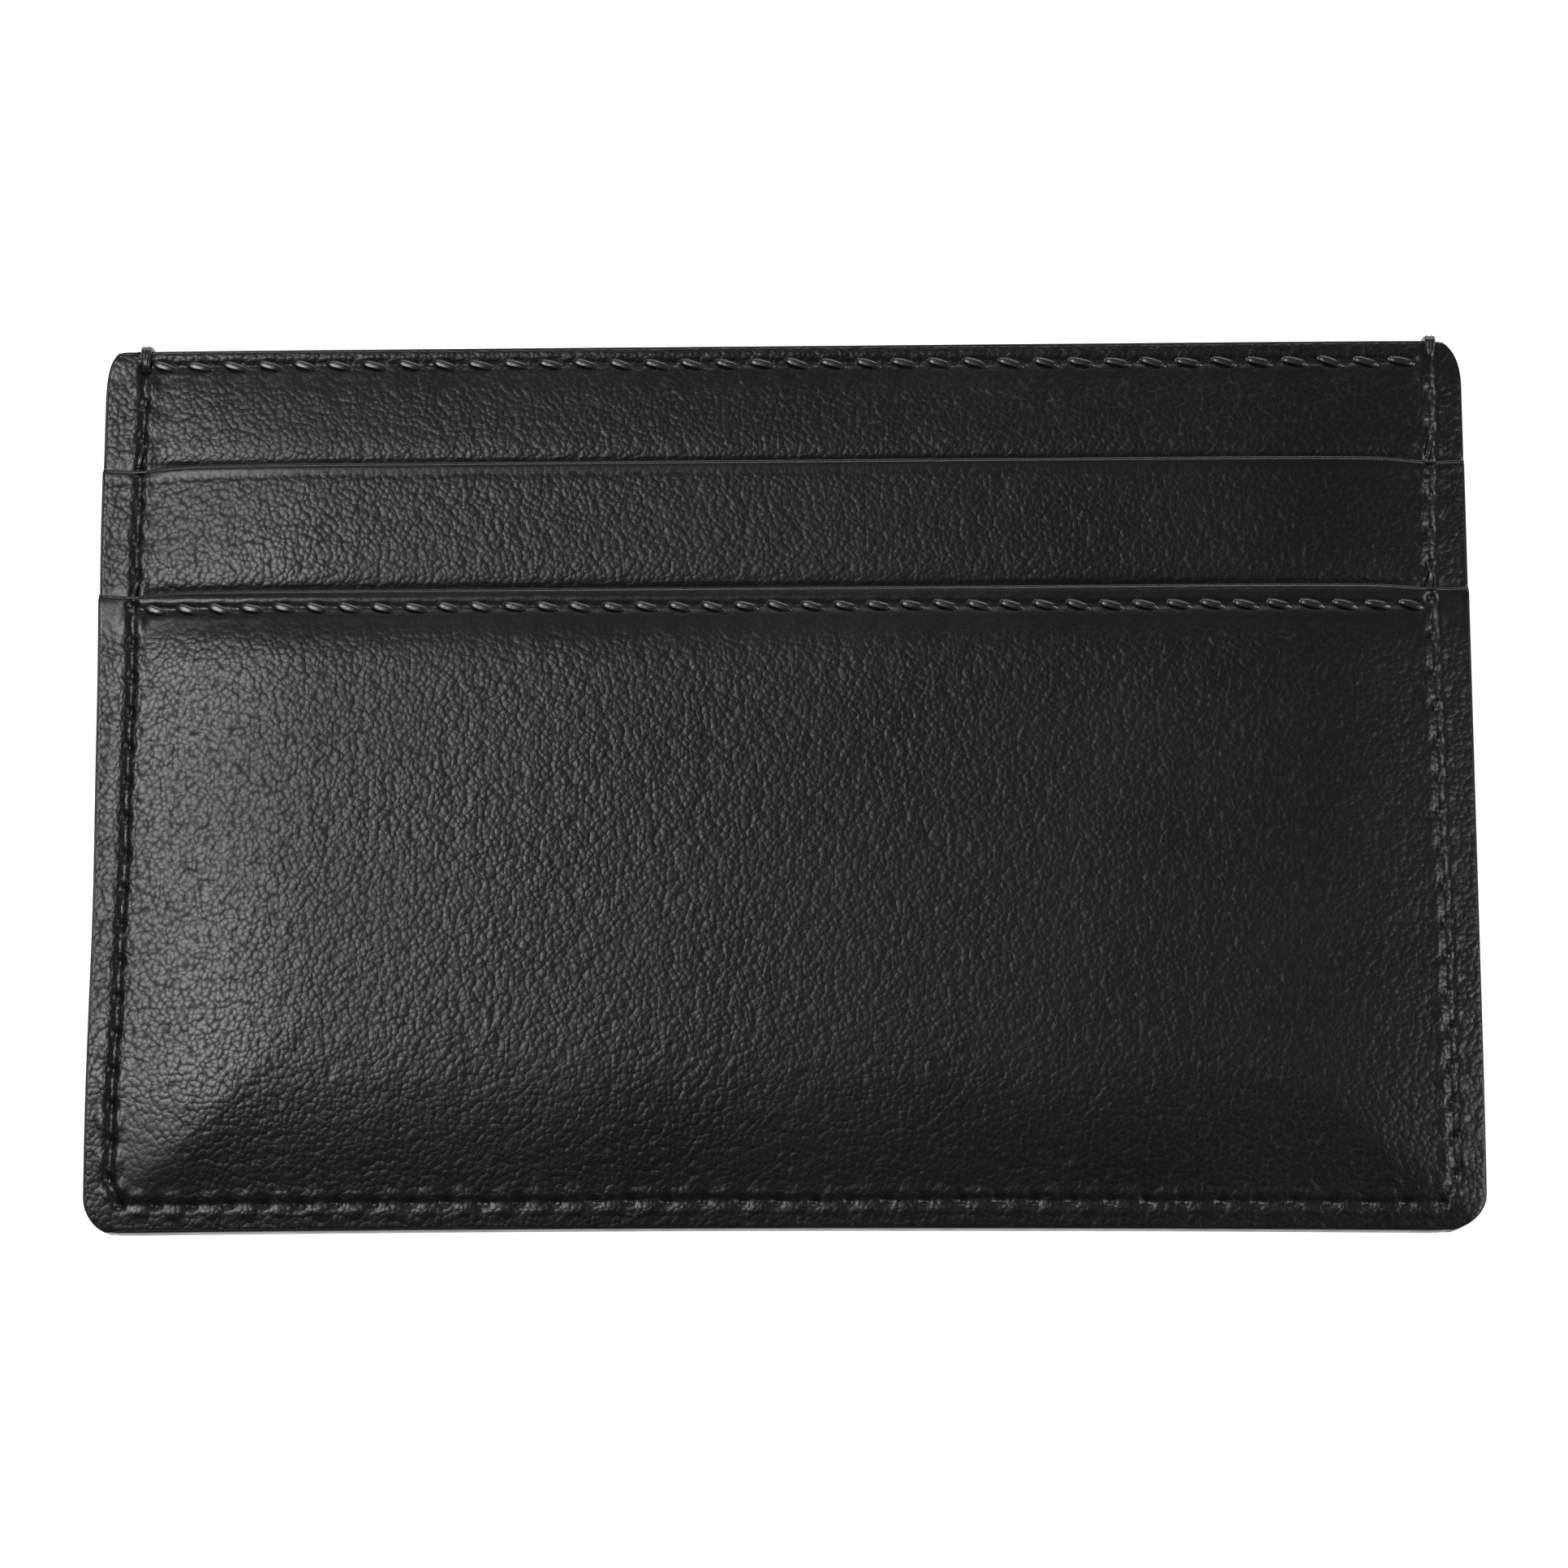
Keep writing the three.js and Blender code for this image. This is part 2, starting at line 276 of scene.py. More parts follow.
# %% How far the outline reaches at each height
# each corner: its width, its height, and how square it is (2 is round)
BOTTOM_CORNER = {-1: (2.5, 2.5, 2.0), 1: (3.8, 2.5, 2.0)}
TOP_CORNER = {-1: (1.5, 4.6, 2.9), 1: (2.0, 3.5, 2.3)}
LIP_CORNER = {-1: (0.3, 0.3, 2.0), 1: (0.3, 0.3, 2.0)}
PAINT = 0.08


def corner_cut(distance, corner):
    """How far a corner has cut the side back, at a distance from the end of that side."""
    width, height, square = corner
    inside = np.clip((height - distance) / height, 0, 1)
    return width * (1 - (1 - inside ** square) ** (1 / square))


def corner_arc(corner, steps=15):
    """The cut corner as (distance in from the side, distance in from the end) pairs."""
    width, height, square = corner
    turn = np.radians(np.linspace(0, 90, steps))
    power = 2 / square
    return list(zip(width * (1 - np.cos(turn) ** power), height * (1 - np.sin(turn) ** power)))


def reach(y, side, head, head_corner):
    """Half width of the leather on one side (-1 left, 1 right), at height y."""
    bottom = corner_cut(y - BOTTOM - PAINT, BOTTOM_CORNER[side])
    top = corner_cut(head - PAINT - y, head_corner[side])
    return HALF_WIDTH - PAINT - bottom - top


# %% [markdown]
# ## Where the needle goes in
#
# Every row of stitching is a chain of holes one stitch apart. The same holes dent the leather
# and later carry the thread, so the two always agree. The perimeter seam is one chain: down the
# left side, along the bottom and up the right side.

# %% Lay out the stitch holes
PITCH = 2.6
LIP_PITCH = 2.43
SEAM_RADIUS = 0.35
FIRST_HOLE = 1.5


def even_chain(points, pitch):
    """Points a stitch apart along a line of straight pieces."""
    lengths = np.linalg.norm(np.diff(points, axis=0), axis=1)
    along = np.concatenate([[0], np.cumsum(lengths)])
    count = int(round(along[-1] / pitch))
    at = np.linspace(0, along[-1], count + 1)
    return np.stack([np.interp(at, along, points[:, k]) for k in (0, 1)], axis=1)


def row_chain(y, pitch, left=0.0, right=0.0):
    """A row across the holder; its left and right ends may sit a little higher or lower."""
    return even_chain(np.array([[-ROW_END, y + left], [ROW_END, y + right]]), pitch)


def arc(centre, radius, start, stop, steps=7):
    """Points on part of a circle, between two angles in degrees."""
    angles = np.radians(np.linspace(start, stop, steps))
    return [(centre[0] + radius * np.cos(a), centre[1] + radius * np.sin(a)) for a in angles]


def seam_chain():
    """Down the left side, round the bottom and up the right side, straying a little."""
    inner = SIDE_SEAM - SEAM_RADIUS
    base = BOTTOM_SEAM + SEAM_RADIUS
    heights = np.linspace(base, TOP - FIRST_HOLE, 12)
    line = [(-SIDE_SEAM, y) for y in heights[::-1]]
    line += arc((-inner, base), SEAM_RADIUS, 180, 270)
    line += arc((inner, base), SEAM_RADIUS, 270, 360)
    line += [(SIDE_SEAM, y) for y in heights]
    line = np.array(line)
    for side, stray in SEAM_STRAY.items():
        drift = np.interp(line[:, 1], *zip(*stray))
        line[:, 0] += drift * step(side * line[:, 0], 0, SIDE_SEAM - 1)
    return even_chain(line, PITCH)


def shaken(chain, seed, size=0.05):
    """A real seam wanders a little from hole to hole."""
    draw = np.random.default_rng(seed)
    return chain + draw.uniform(-size, size, chain.shape)


seam_holes = shaken(seam_chain(), 11)
top_holes = shaken(row_chain(TOP_ROW, PITCH, 0.26, -0.16), 12)
lip_holes = shaken(row_chain(LIP_ROW, LIP_PITCH, 0.12, -0.08), 13)
foot_holes = shaken(row_chain(FOOT_ROW, PITCH), 14)
print("stitches:", len(seam_holes) - 1, len(top_holes) - 1, len(lip_holes) - 1, len(foot_holes) - 1)

# %% [markdown]
# ## How thread shapes leather
#
# A tight stitch pulls the leather into a shallow groove and dents it where the needle went
# through. Between two holes the leather is pushed up beside the thread.

# %% Groove, dents and puckers along a chain of holes
# each as (depth or height, width); a pucker also has its distance from the seam, and the
# perimeter seam has no hollow
SEAM_PULL = {"groove": (0.09, 0.26), "dent": (0.30, 0.33),
             "pucker": (0.08, 0.36, 0.60), "hollow": (0, 1)}
ROW_PULL = {"groove": (0.08, 0.36), "dent": (0.08, 0.30),
            "pucker": (0.03, 0.40, 0.70), "hollow": (0.24, 1.2)}
# the hollow below a row reaches this far above it, and this share of a stitch either way
HOLLOW_ABOVE, HOLLOW_SHARE = 0.45, 0.47
# a pucker is this share of a stitch long
PUCKER_SHARE = 1 / 3.8
# a seam across the holder digs in this much less than one along its side
LEVEL_SHARE = 0.35
# a point is changed only by stitches that are nearer than this, across and up
NEAR_X, NEAR_Y = 4, 6


def bump(x, y, at, along, length, width):
    """A smooth mound, longer in one direction than across it."""
    dx, dy = x - at[0], y - at[1]
    run = dx * along[0] + dy * along[1]
    off = -dx * along[1] + dy * along[0]
    return np.exp(-(run / length) ** 2 - (off / width) ** 2)


def sewn(x, y, holes, pull):
    """What a row of stitches adds to the height of the leather under it."""
    groove, groove_width = pull["groove"]
    dent, dent_width = pull["dent"]
    pucker, pucker_width, away = pull["pucker"]
    hollow, hollow_reach = pull["hollow"]
    total = np.zeros(x.shape)
    for start, stop in zip(holes[:-1], holes[1:]):
        near = (np.abs(x - start[0]) < NEAR_X) & (np.abs(y - start[1]) < NEAR_Y)
        if not near.any():
            continue
        px, py = x[near], y[near]
        centre = (start + stop) / 2
        length = np.linalg.norm(stop - start)
        along = (stop - start) / length
        across = np.array([-along[1], along[0]])
        pulled = groove * (LEVEL_SHARE + (1 - LEVEL_SHARE) * abs(along[1]))
        change = -pulled * bump(px, py, centre, along, length / 2, groove_width)
        change -= dent * bump(px, py, start, along, dent_width, dent_width)
        for side in (-1, 1):
            at = centre + side * away * across
            change += pucker * bump(px, py, at, along, length * PUCKER_SHARE, pucker_width)
        away_from = centre[1] - py
        valley = np.where(away_from > 0, np.exp(-np.abs(away_from) / hollow_reach),
                          np.exp(-(away_from / HOLLOW_ABOVE) ** 2))
        beside = (px - centre[0]) / (HOLLOW_SHARE * length)
        change -= hollow * valley * np.exp(-beside ** 2)
        total[near] += change
    return total


# %% [markdown]
# ## Making a panel
#
# A panel is a fine grid over its outer face, rolled over at the edge and closed by a coarser
# grid underneath. The grid is finer along the seams, where the dents are. Writing the grid in
# numbers, instead of sculpting it, keeps every dent exactly under its stitch.

# %% A grid that fills the outline
EDGE_ROUND = 0.2
COARSE = 8
# the fine part of the grid reaches this far in from a seam, and this far below a row
SEAM_ZONE, ROW_ZONE = 1.3, 1.2
# the grid bends to the outline of the sides and of the lip within these distances
SIDE_BEND, HEAD_BEND = 6, 3


def spaced(start, stop, gap):
    """Values from start, about a gap apart, that stop just before the end."""
    count = max(int(round((stop - start) / gap)), 1)
    return list(np.linspace(start, stop, count + 1)[:-1])


def across_lines(margin, fine, middle):
    """Where the grid's columns are: fine near the side seams, wider in the middle."""
    inner = SIDE_SEAM - SEAM_ZONE
    outer = HALF_WIDTH - PAINT - margin
    lines = spaced(-outer, -inner, fine)
    lines += spaced(-inner, inner, middle)
    lines += spaced(inner, outer, fine) + [outer]
    return np.array(lines)


def grid_points(x_lines, y_lines, head, head_corner, head_shape):
    """x and y of each grid point: the sides follow the outline and the top follows the lip."""
    x, y = np.meshgrid(x_lines, y_lines)
    for side in (-1, 1):
        short = HALF_WIDTH - PAINT - reach(y, side, head, head_corner)
        ramp = np.clip((side * x - (HALF_WIDTH - SIDE_BEND)) / SIDE_BEND, 0, 1)
        x = x - side * short * ramp
    y = y + head_shape(x) * step(y, head - HEAD_BEND, head)
    return x, y


def loop_of(rows, columns):
    """Indices round the border of a grid, counter-clockwise from its lower left corner."""
    index = np.arange(rows * columns).reshape(rows, columns)
    return np.concatenate([index[0, :-1], index[:-1, -1], index[-1, :0:-1], index[:0:-1, 0]])


def outward(points):
    """Unit directions pointing out of a counter-clockwise loop."""
    along = np.roll(points, -1, axis=0) - np.roll(points, 1, axis=0)
    out = np.stack([along[:, 1], -along[:, 0]], axis=1)
    return out / np.linalg.norm(out, axis=1)[:, None]


def quads_of(rows, columns, first=0):
    """The faces of a grid whose points are numbered row by row."""
    index = first + np.arange(rows * columns).reshape(rows, columns)
    corners = (index[:-1, :-1], index[:-1, 1:], index[1:, 1:], index[1:, :-1])
    return np.stack([c.ravel() for c in corners], axis=1).tolist()


# %% Settle the straight design into a hand-made shape
# the left edge comes in below the first of these heights, and fully below the second
LEFT_IN, LEFT_FROM = 0.22, (20, 5)
# and it is a little hollow round a height, as far as this above and below it
LEFT_HOLLOW, LEFT_HOLLOW_AT, LEFT_HOLLOW_REACH = 0.14, -9, 9
BOTTOM_IN, BOTTOM_HOLLOW, BOW_MARGIN = 0.12, 0.24, 4
TOP_IN, TOP_FADE = 0.13, 6
EDGE_FADE = 20.0


def settled(points):
    """Points in millimetres, moved a little: hand-cut edges are never quite straight."""
    points = np.array(points, dtype=float)
    x, y = points[:, 0].copy(), points[:, 1].copy()
    hollow = LEFT_HOLLOW * np.exp(-((y - LEFT_HOLLOW_AT) / LEFT_HOLLOW_REACH) ** 2)
    from_left = LEFT_IN * step(y, *LEFT_FROM) + hollow
    points[:, 0] += from_left * step(x, -HALF_WIDTH + EDGE_FADE, -HALF_WIDTH)
    bow = np.clip(1 - (x / (HALF_WIDTH - BOW_MARGIN)) ** 2, 0, 1)
    from_below = BOTTOM_IN + BOTTOM_HOLLOW * bow
    points[:, 1] += from_below * step(y, BOTTOM + EDGE_FADE, BOTTOM)
    points[:, 1] -= TOP_IN * step(y, TOP - TOP_FADE, TOP)
    return points


# %% Roll the grid over at its edge and close it underneath
def add_mesh(name, points, faces, flip=False):
    """A smooth-shaded object from points in millimetres."""
    mesh = bpy.data.meshes.new(name)
    if flip:
        faces = [tuple(reversed(face)) for face in faces]
    mesh.from_pydata((settled(points) * MM).tolist(), [], faces)
    mesh.shade_smooth()
    mesh.update()
    piece = bpy.data.objects.new(name, mesh)
    bpy.context.scene.collection.objects.link(piece)
    return piece


def coarse_lines(count, coarse):
    """Every so many grid lines, and always the last one."""
    picks = list(range(0, count - 1, coarse))
    if count - 1 - picks[-1] < coarse // 2:
        picks.pop()
    return np.array(picks + [count - 1])


def join_rings(ring, coarse_loop, columns, rows, column_picks, row_picks):
    """Joins the last ring of the rolled edge to the coarse grid under the panel."""
    bottom = column_picks[1:-1]
    right = columns - 1 + row_picks[1:-1]
    top = (columns - 1) + (rows - 1) + (columns - 1 - column_picks[1:-1][::-1])
    left = 2 * (columns - 1) + (rows - 1) + (rows - 1 - row_picks[1:-1][::-1])
    sides = [bottom, right, top, left]
    count = len(ring)
    faces = []
    k = 0
    for n, side in enumerate(sides):
        for a, b in zip(side[:-1], side[1:]):
            here, after = coarse_loop[k], coarse_loop[(k + 1) % len(coarse_loop)]
            half = (a + b) // 2
            for i in range(a, b):
                tip = here if i < half else after
                faces.append((ring[i % count], tip, ring[(i + 1) % count]))
            faces.append((ring[half % count], here, after))
            k += 1
        corner = coarse_loop[k % len(coarse_loop)]
        first, last = side[-1], sides[(n + 1) % 4][0]
        last += count if last < first else 0
        for i in range(first, last):
            faces.append((ring[i % count], corner, ring[(i + 1) % count]))
    return faces


def make_panel(name, sign, x, y, height, thickness, roll=EDGE_ROUND, coarse=COARSE):
    """Closes a panel whose outer face has these heights above the middle plane."""
    rows, columns = x.shape
    outer = np.stack([x.ravel(), y.ravel(), height.ravel()], axis=1)
    border = loop_of(rows, columns)
    out = outward(outer[border, :2])
    points = [outer]
    faces = quads_of(rows, columns)
    ring = border
    total = len(outer)
    quarter = np.radians([30, 60, 90])
    profile = [(roll * np.sin(a), roll * (1 - np.cos(a))) for a in quarter]
    profile += [(w, thickness - h) for w, h in reversed(profile)] + [(0.0, thickness)]
    for width, drop in profile:
        level = outer[border] + np.column_stack([out * width, np.full(len(border), -drop)])
        new = total + np.arange(len(border))
        after, new_after = np.roll(ring, -1), np.roll(new, -1)
        faces += np.stack([ring, new, new_after, after], axis=1).tolist()
        points.append(level)
        ring = new
        total += len(border)
    row_picks, column_picks = coarse_lines(rows, coarse), coarse_lines(columns, coarse)
    under = outer.reshape(rows, columns, 3)[np.ix_(row_picks, column_picks)].copy()
    under[..., 2] -= thickness
    under = under[1:-1, 1:-1]
    points.append(under.reshape(-1, 3))
    faces += [face[::-1] for face in quads_of(*under.shape[:2], total)]
    coarse_loop = total + loop_of(*under.shape[:2])
    faces += join_rings(ring, coarse_loop, columns, rows, column_picks, row_picks)
    points = np.concatenate(points)
    points[:, 2] = MIDDLE + sign * points[:, 2]
    return add_mesh(name, points, faces, flip=sign < 0)


# %% [markdown]
# ## Where the grain is pressed flat
#
# Leather that is folded, creased or pulled tight by a seam loses some of its grain. Each panel
# carries a number at every point, from 0 for full grain to 1 for grain pressed flat, and the
# leather finish reads it later.

# %% Mark the pressed leather
PAIR = (("front", 1), ("back", -1))
DIP_DEPTH, DIP_WIDTH = 0.28, 2.6
# how far in from the left seam and up from the bottom seam the rubbed spot lies, and its size
RUBBED, RUBBED_AT, RUBBED_SIZE = 0.8, (2, 3.5), (3, 5)


def straight(x):
    """A lip that doesn't dip."""
    return np.zeros(np.shape(x))


def dipped(x):
    """A lip sinks a little where the side seams hold it."""
    return -DIP_DEPTH * np.exp(-((np.abs(x) - SIDE_SEAM) / DIP_WIDTH) ** 2)


def fade(distance, full, none):
    """1 up to the distance full, then falling to 0 at the distance none."""
    return 1 - step(distance, full, none)


def mark_pressed(piece, pressed):
    """Stores how far the grain is pressed flat at each point; pressed is a function of x and y."""
    points = np.zeros(len(piece.data.vertices) * 3)
    piece.data.vertices.foreach_get("co", points)
    points = points.reshape(-1, 3) / MM
    values = np.clip(pressed(points[:, 0], points[:, 1]), 0, 1)
    layer = piece.data.attributes.new("pressed", "FLOAT", "POINT")
    layer.data.foreach_set("value", values.astype(np.float32))


def rubbed(x, y):
    """The lower left of the pocket is polished by handling."""
    across = (x + SIDE_SEAM - RUBBED_AT[0]) / RUBBED_SIZE[0]
    up = (y - BOTTOM_SEAM - RUBBED_AT[1]) / RUBBED_SIZE[1]
    return RUBBED * np.exp(-across ** 2 - up ** 2)


# %% Cut the leather panels of both faces
CREASE_BELOW_LIP, CREASE_WIDTH, CREASE_DEPTH = 1.0, 0.20, 0.025
LIP_BEAD_AT, LIP_BEAD_WIDTH, LIP_BEAD = 0.45, 0.35, 0.05
# gaps between grid lines: along seams, across a smooth panel, and where nothing shows
FINE, SMOOTH, HIDDEN = 0.13, 0.27, 2.0
LIP_FINE = 0.12
x_lines = across_lines(EDGE_ROUND, 0.15, 0.26)


def pocket_panel(name, sign, seed):
    """The large outer panel, with the row along its lip."""
    top = POCKET_LIP - PAINT - EDGE_ROUND
    lines = spaced(BOTTOM + PAINT + EDGE_ROUND, BOTTOM_SEAM + ROW_ZONE, FINE)
    lines += spaced(BOTTOM_SEAM + ROW_ZONE, LIP_ROW - ROW_ZONE, SMOOTH)
    lines += spaced(LIP_ROW - ROW_ZONE, top, FINE) + [top]
    x, y = grid_points(x_lines, np.array(lines), POCKET_LIP, LIP_CORNER, dipped)
    height = pocket_height(x, y, seed) + sewn(x, y, seam_holes, SEAM_PULL)
    height = height + sewn(x, y, lip_holes, ROW_PULL)
    piece = make_panel(name, sign, x, y, height, POCKET_LEATHER)
    mark_pressed(piece, lambda px, py: fade(LIP_ROW - py, 0.8, 2.8) + rubbed(px, py))
    return piece


def slot_panel(name, sign, seed):
    """The stepped panel behind the pocket, with a fine crease below its lip and a bead on it."""
    top = SLOT_LIP - PAINT - EDGE_ROUND
    lines = spaced(SLOT_FOOT, POCKET_LIP - 3, HIDDEN)
    lines += spaced(POCKET_LIP - 3, SLOT_LIP - 2, SMOOTH)
    lines += spaced(SLOT_LIP - 2, top, LIP_FINE) + [top]
    x, y = grid_points(x_lines, np.array(lines), SLOT_LIP, LIP_CORNER, dipped)
    below = SLOT_LIP + dipped(x) - y
    crease = -CREASE_DEPTH * np.exp(-((below - CREASE_BELOW_LIP) / CREASE_WIDTH) ** 2)
    bead = LIP_BEAD * np.exp(-((below - LIP_BEAD_AT) / LIP_BEAD_WIDTH) ** 2)
    shown = step(y, POCKET_LIP - 2, POCKET_LIP)
    height = slot_height(x, y, seed) + crease + bead
    height += sewn(x, y, seam_holes, SEAM_PULL) * shown
    piece = make_panel(name, sign, x, y, height, SLOT_LEATHER)
    mark_pressed(piece, lambda px, py: (fade(SLOT_LIP - py, 0.6, 1.2)
                                        + fade(py - POCKET_LIP, 0.1, 0.5)))
    return piece


def body_panel(name, sign, seed):
    """The full-height panel, with the row along its top edge."""
    top = TOP - PAINT - EDGE_ROUND
    lines = spaced(BOTTOM + PAINT + EDGE_ROUND, BOTTOM_SEAM + 2, 0.3)
    lines += spaced(BOTTOM_SEAM + 2, SLOT_LIP - 3, HIDDEN)
    lines += spaced(SLOT_LIP - 3, TOP_ROW - ROW_ZONE, SMOOTH)
    lines += spaced(TOP_ROW - ROW_ZONE, top, LIP_FINE) + [top]
    x, y = grid_points(x_lines, np.array(lines), TOP, TOP_CORNER, straight)
    shown = step(y, SLOT_LIP - 2, SLOT_LIP)
    height = body_height(x, y, seed) + sewn(x, y, top_holes, ROW_PULL)
    height += sewn(x, y, seam_holes, SEAM_PULL) * shown
    piece = make_panel(name, sign, x, y, height, BODY_LEATHER)
    mark_pressed(piece, lambda px, py: (0.6 * np.exp(-((py - TOP_ROW + 0.9) / 0.8) ** 2)
                                        + fade(py - SLOT_LIP, 0.1, 0.5)))
    return piece


SEEDS = {"front": 20, "back": 40}
leather_pieces = []
for face, sign in PAIR:
    makers = (("pocket", pocket_panel), ("slot", slot_panel), ("body", body_panel))
    for part, maker in makers:
        piece = maker(f"{face}_{part}_leather", sign, SEEDS[face])
        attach(piece, "root")
        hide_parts(f"{face}_{part}_panel")
        leather_pieces.append(piece)
        print(piece.name, len(piece.data.vertices), "points")

# %% [markdown]
# ## Linings
#
# A thin woven lining is glued to the inside of each body panel and pocket. It is a sheet of
# cloth, cut a little smaller than the leather and stretched flat over the back of it, so it
# follows the same heights, one leather thickness lower.

# %% Lay the linings behind the leather
LINING_MARGIN = 0.3
LINING_ROLL = 0.04
LINING_GAP = 1.5


def lining(name, sign, height, leather, head, corner):
    """A thin closed sheet behind a leather panel, up to the panel's lip."""
    lines = spaced(BOTTOM + PAINT + LINING_MARGIN, head - LINING_MARGIN, LINING_GAP)
    y_lines = np.array(lines + [head - LINING_MARGIN])
    columns = across_lines(LINING_MARGIN, LINING_GAP, LINING_GAP)
    x, y = grid_points(columns, y_lines, head, corner, straight)
    z = height(x, y) - leather
    piece = make_panel(name, sign, x, y, z, FABRIC, roll=LINING_ROLL, coarse=1)
    size = ((columns[-1] - columns[0]) * MM, (y_lines[-1] - y_lines[0]) * MM)
    return piece, size


lining_pieces = []
for face, sign in PAIR:
    seed = SEEDS[face]
    layers = (
        ("body", lambda x, y: body_height(x, y, seed), BODY_LEATHER, TOP, TOP_CORNER),
        ("pocket", lambda x, y: pocket_height(x, y, seed), POCKET_LEATHER, POCKET_LIP, LIP_CORNER),
    )
    for part, height, leather, head, corner in layers:
        piece, size = lining(f"{face}_{part}_fabric", sign, height, leather, head, corner)
        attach(piece, "root")
        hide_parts(f"{face}_{part}_lining")
        lining_pieces.append(piece)
        print(piece.name, "cut to", [round(s / MM, 1) for s in size], "mm")

# %% [markdown]
# ## Painted edges
#
# Cut leather edges are filled, rubbed down and painted, and the paint dries slightly domed. It
# is a thin skin swept along each edge: a C-shaped section that follows the outline, with its own
# lowest and highest point at every step, because the stack is thicker where the pocket is.

# %% The section of the paint, and sweeping it along a path
PAINT_WRAP = 0.16
PAINT_SKIN = 0.03
PAINT_CORNER = 0.13
PAINT_LIFT = 0.012
# how square the dome of the paint is, outwards and up
DOME_OUT, DOME_UP = 0.6, 0.5
DOME_ANGLES = np.radians(np.linspace(90, -90, 11))


def paint_section(low, high):
    """The outline of the paint between two heights, as (distance out of the cut, height)."""
    half = (high - low) / 2 + PAINT_LIFT
    centre = (high + low) / 2
    side, rise = np.cos(DOME_ANGLES), np.sin(DOME_ANGLES)
    out = -PAINT_CORNER + (PAINT_CORNER + PAINT) * np.abs(side) ** DOME_OUT
    up = centre + half * np.sign(rise) * np.abs(rise) ** DOME_UP
    section = [(-PAINT_WRAP, high)] + list(zip(out, up)) + [(-PAINT_WRAP, low)]
    section += [(-PAINT_WRAP, low + PAINT_SKIN), (-PAINT_SKIN, low + 2 * PAINT_SKIN)]
    section += [(-PAINT_SKIN, high - 2 * PAINT_SKIN), (-PAINT_WRAP, high - PAINT_SKIN)]
    return section


def to_the_right(path):
    """Unit directions square to an open path, on its right-hand side."""
    along = np.gradient(path, axis=0)
    out = np.stack([along[:, 1], -along[:, 0]], axis=1)
    return out / np.linalg.norm(out, axis=1)[:, None]


def sweep(name, path, out, sections):
    """A closed piece from one section at each point of a path in the plane of the holder."""
    width = len(sections[0])
    points = []
    for (x, y), (nx, ny), section in zip(path, out, sections):
        points += [(x + nx * u, y + ny * u, z) for u, z in section]
    faces = [tuple(range(width))]
    for k in range(len(path) - 1):
        for i in range(width):
            a, b = k * width + i, k * width + (i + 1) % width
            faces.append((a, a + width, b + width, b))
    last = (len(path) - 1) * width
    faces.append(tuple(last + i for i in reversed(range(width))))
    piece = add_mesh(name, points, faces)
    shell = bmesh.new()
    shell.from_mesh(piece.data)
    bmesh.ops.triangulate(shell, faces=[face for face in shell.faces if len(face.verts) > 4])
    bmesh.ops.recalc_face_normals(shell, faces=shell.faces)
    shell.to_mesh(piece.data)
    shell.free()
    return piece


# %% Paint the outside edge of the whole stack
EDGE_STEP = 0.35
LIP_STEP = 0.35
MOUTH_END = SIDE_SEAM + 0.1


def outer_height(x, y, seed):
    """Height of whatever leather is outermost at a point, above the middle plane."""
    body = body_height(x, y, seed)
    slot = slot_height(x, y, seed) - body
    pocket = pocket_height(x, y, seed) - body - slot
    on_slot = 1 - step(y, SLOT_LIP - LIP_STEP, SLOT_LIP)
    on_pocket = 1 - step(y, POCKET_LIP - LIP_STEP, POCKET_LIP)
    return body + slot * on_slot + pocket * on_pocket


def edge_path():
    """The cut edge from the left seam's top end, round both bottom corners, to the right seam's."""
    side, base, head = HALF_WIDTH - PAINT, BOTTOM + PAINT, TOP - PAINT
    line = [(-MOUTH_END, head)]
    line += [(-side + u, head - v) for u, v in reversed(corner_arc(TOP_CORNER[-1]))]
    line += [(-side + u, base + v) for u, v in corner_arc(BOTTOM_CORNER[-1])]
    line += [(side - u, base + v) for u, v in reversed(corner_arc(BOTTOM_CORNER[1]))]
    line += [(side - u, head - v) for u, v in corner_arc(TOP_CORNER[1])]
    return even_chain(np.array(line + [(MOUTH_END, head)]), EDGE_STEP)


path = edge_path()
highs = MIDDLE + outer_height(path[:, 0], path[:, 1], SEEDS["front"])
lows = MIDDLE - outer_height(path[:, 0], path[:, 1], SEEDS["back"])
sections = [paint_section(low, high) for low, high in zip(lows, highs)]
perimeter_paint = sweep("perimeter_edge_paint", path, to_the_right(path), sections)
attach(perimeter_paint, "root")
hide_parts("perimeter_edge_coat")
paint_pieces = [perimeter_paint]
print("perimeter paint:", len(path), "sections, thickest", round(float((highs - lows).max()), 2))


# %% Paint the lips of the pockets and slots, and the top edges
def lip_path(lip):
    """A lip from right to left, so that its right-hand side faces up the holder."""
    end = HALF_WIDTH - 2 * PAINT
    x = np.linspace(end, -end, int(2 * end / EDGE_STEP))
    return np.column_stack([x, lip - PAINT + dipped(x)])


def top_path():
    """The top edge between the two side seams, where the holder opens."""
    x = np.linspace(MOUTH_END, -MOUTH_END, int(2 * MOUTH_END / EDGE_STEP))
    return np.column_stack([x, np.full(len(x), TOP - PAINT)])


def lip_paint(face, sign, part, path, height, thickness):
    """Paint on the cut edge of one layer."""
    x, y = path[:, 0], path[:, 1]
    top = height(x, y, SEEDS[face])
    levels = np.sort(np.stack([MIDDLE + sign * top, MIDDLE + sign * (top - thickness)]), axis=0)
    sections = [paint_section(low, high) for low, high in levels.T]
    piece = sweep(f"{face}_{part}_edge_paint", path, to_the_right(path), sections)
    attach(piece, "root")
    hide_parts(f"{face}_{part}_edge_coat")
    return piece


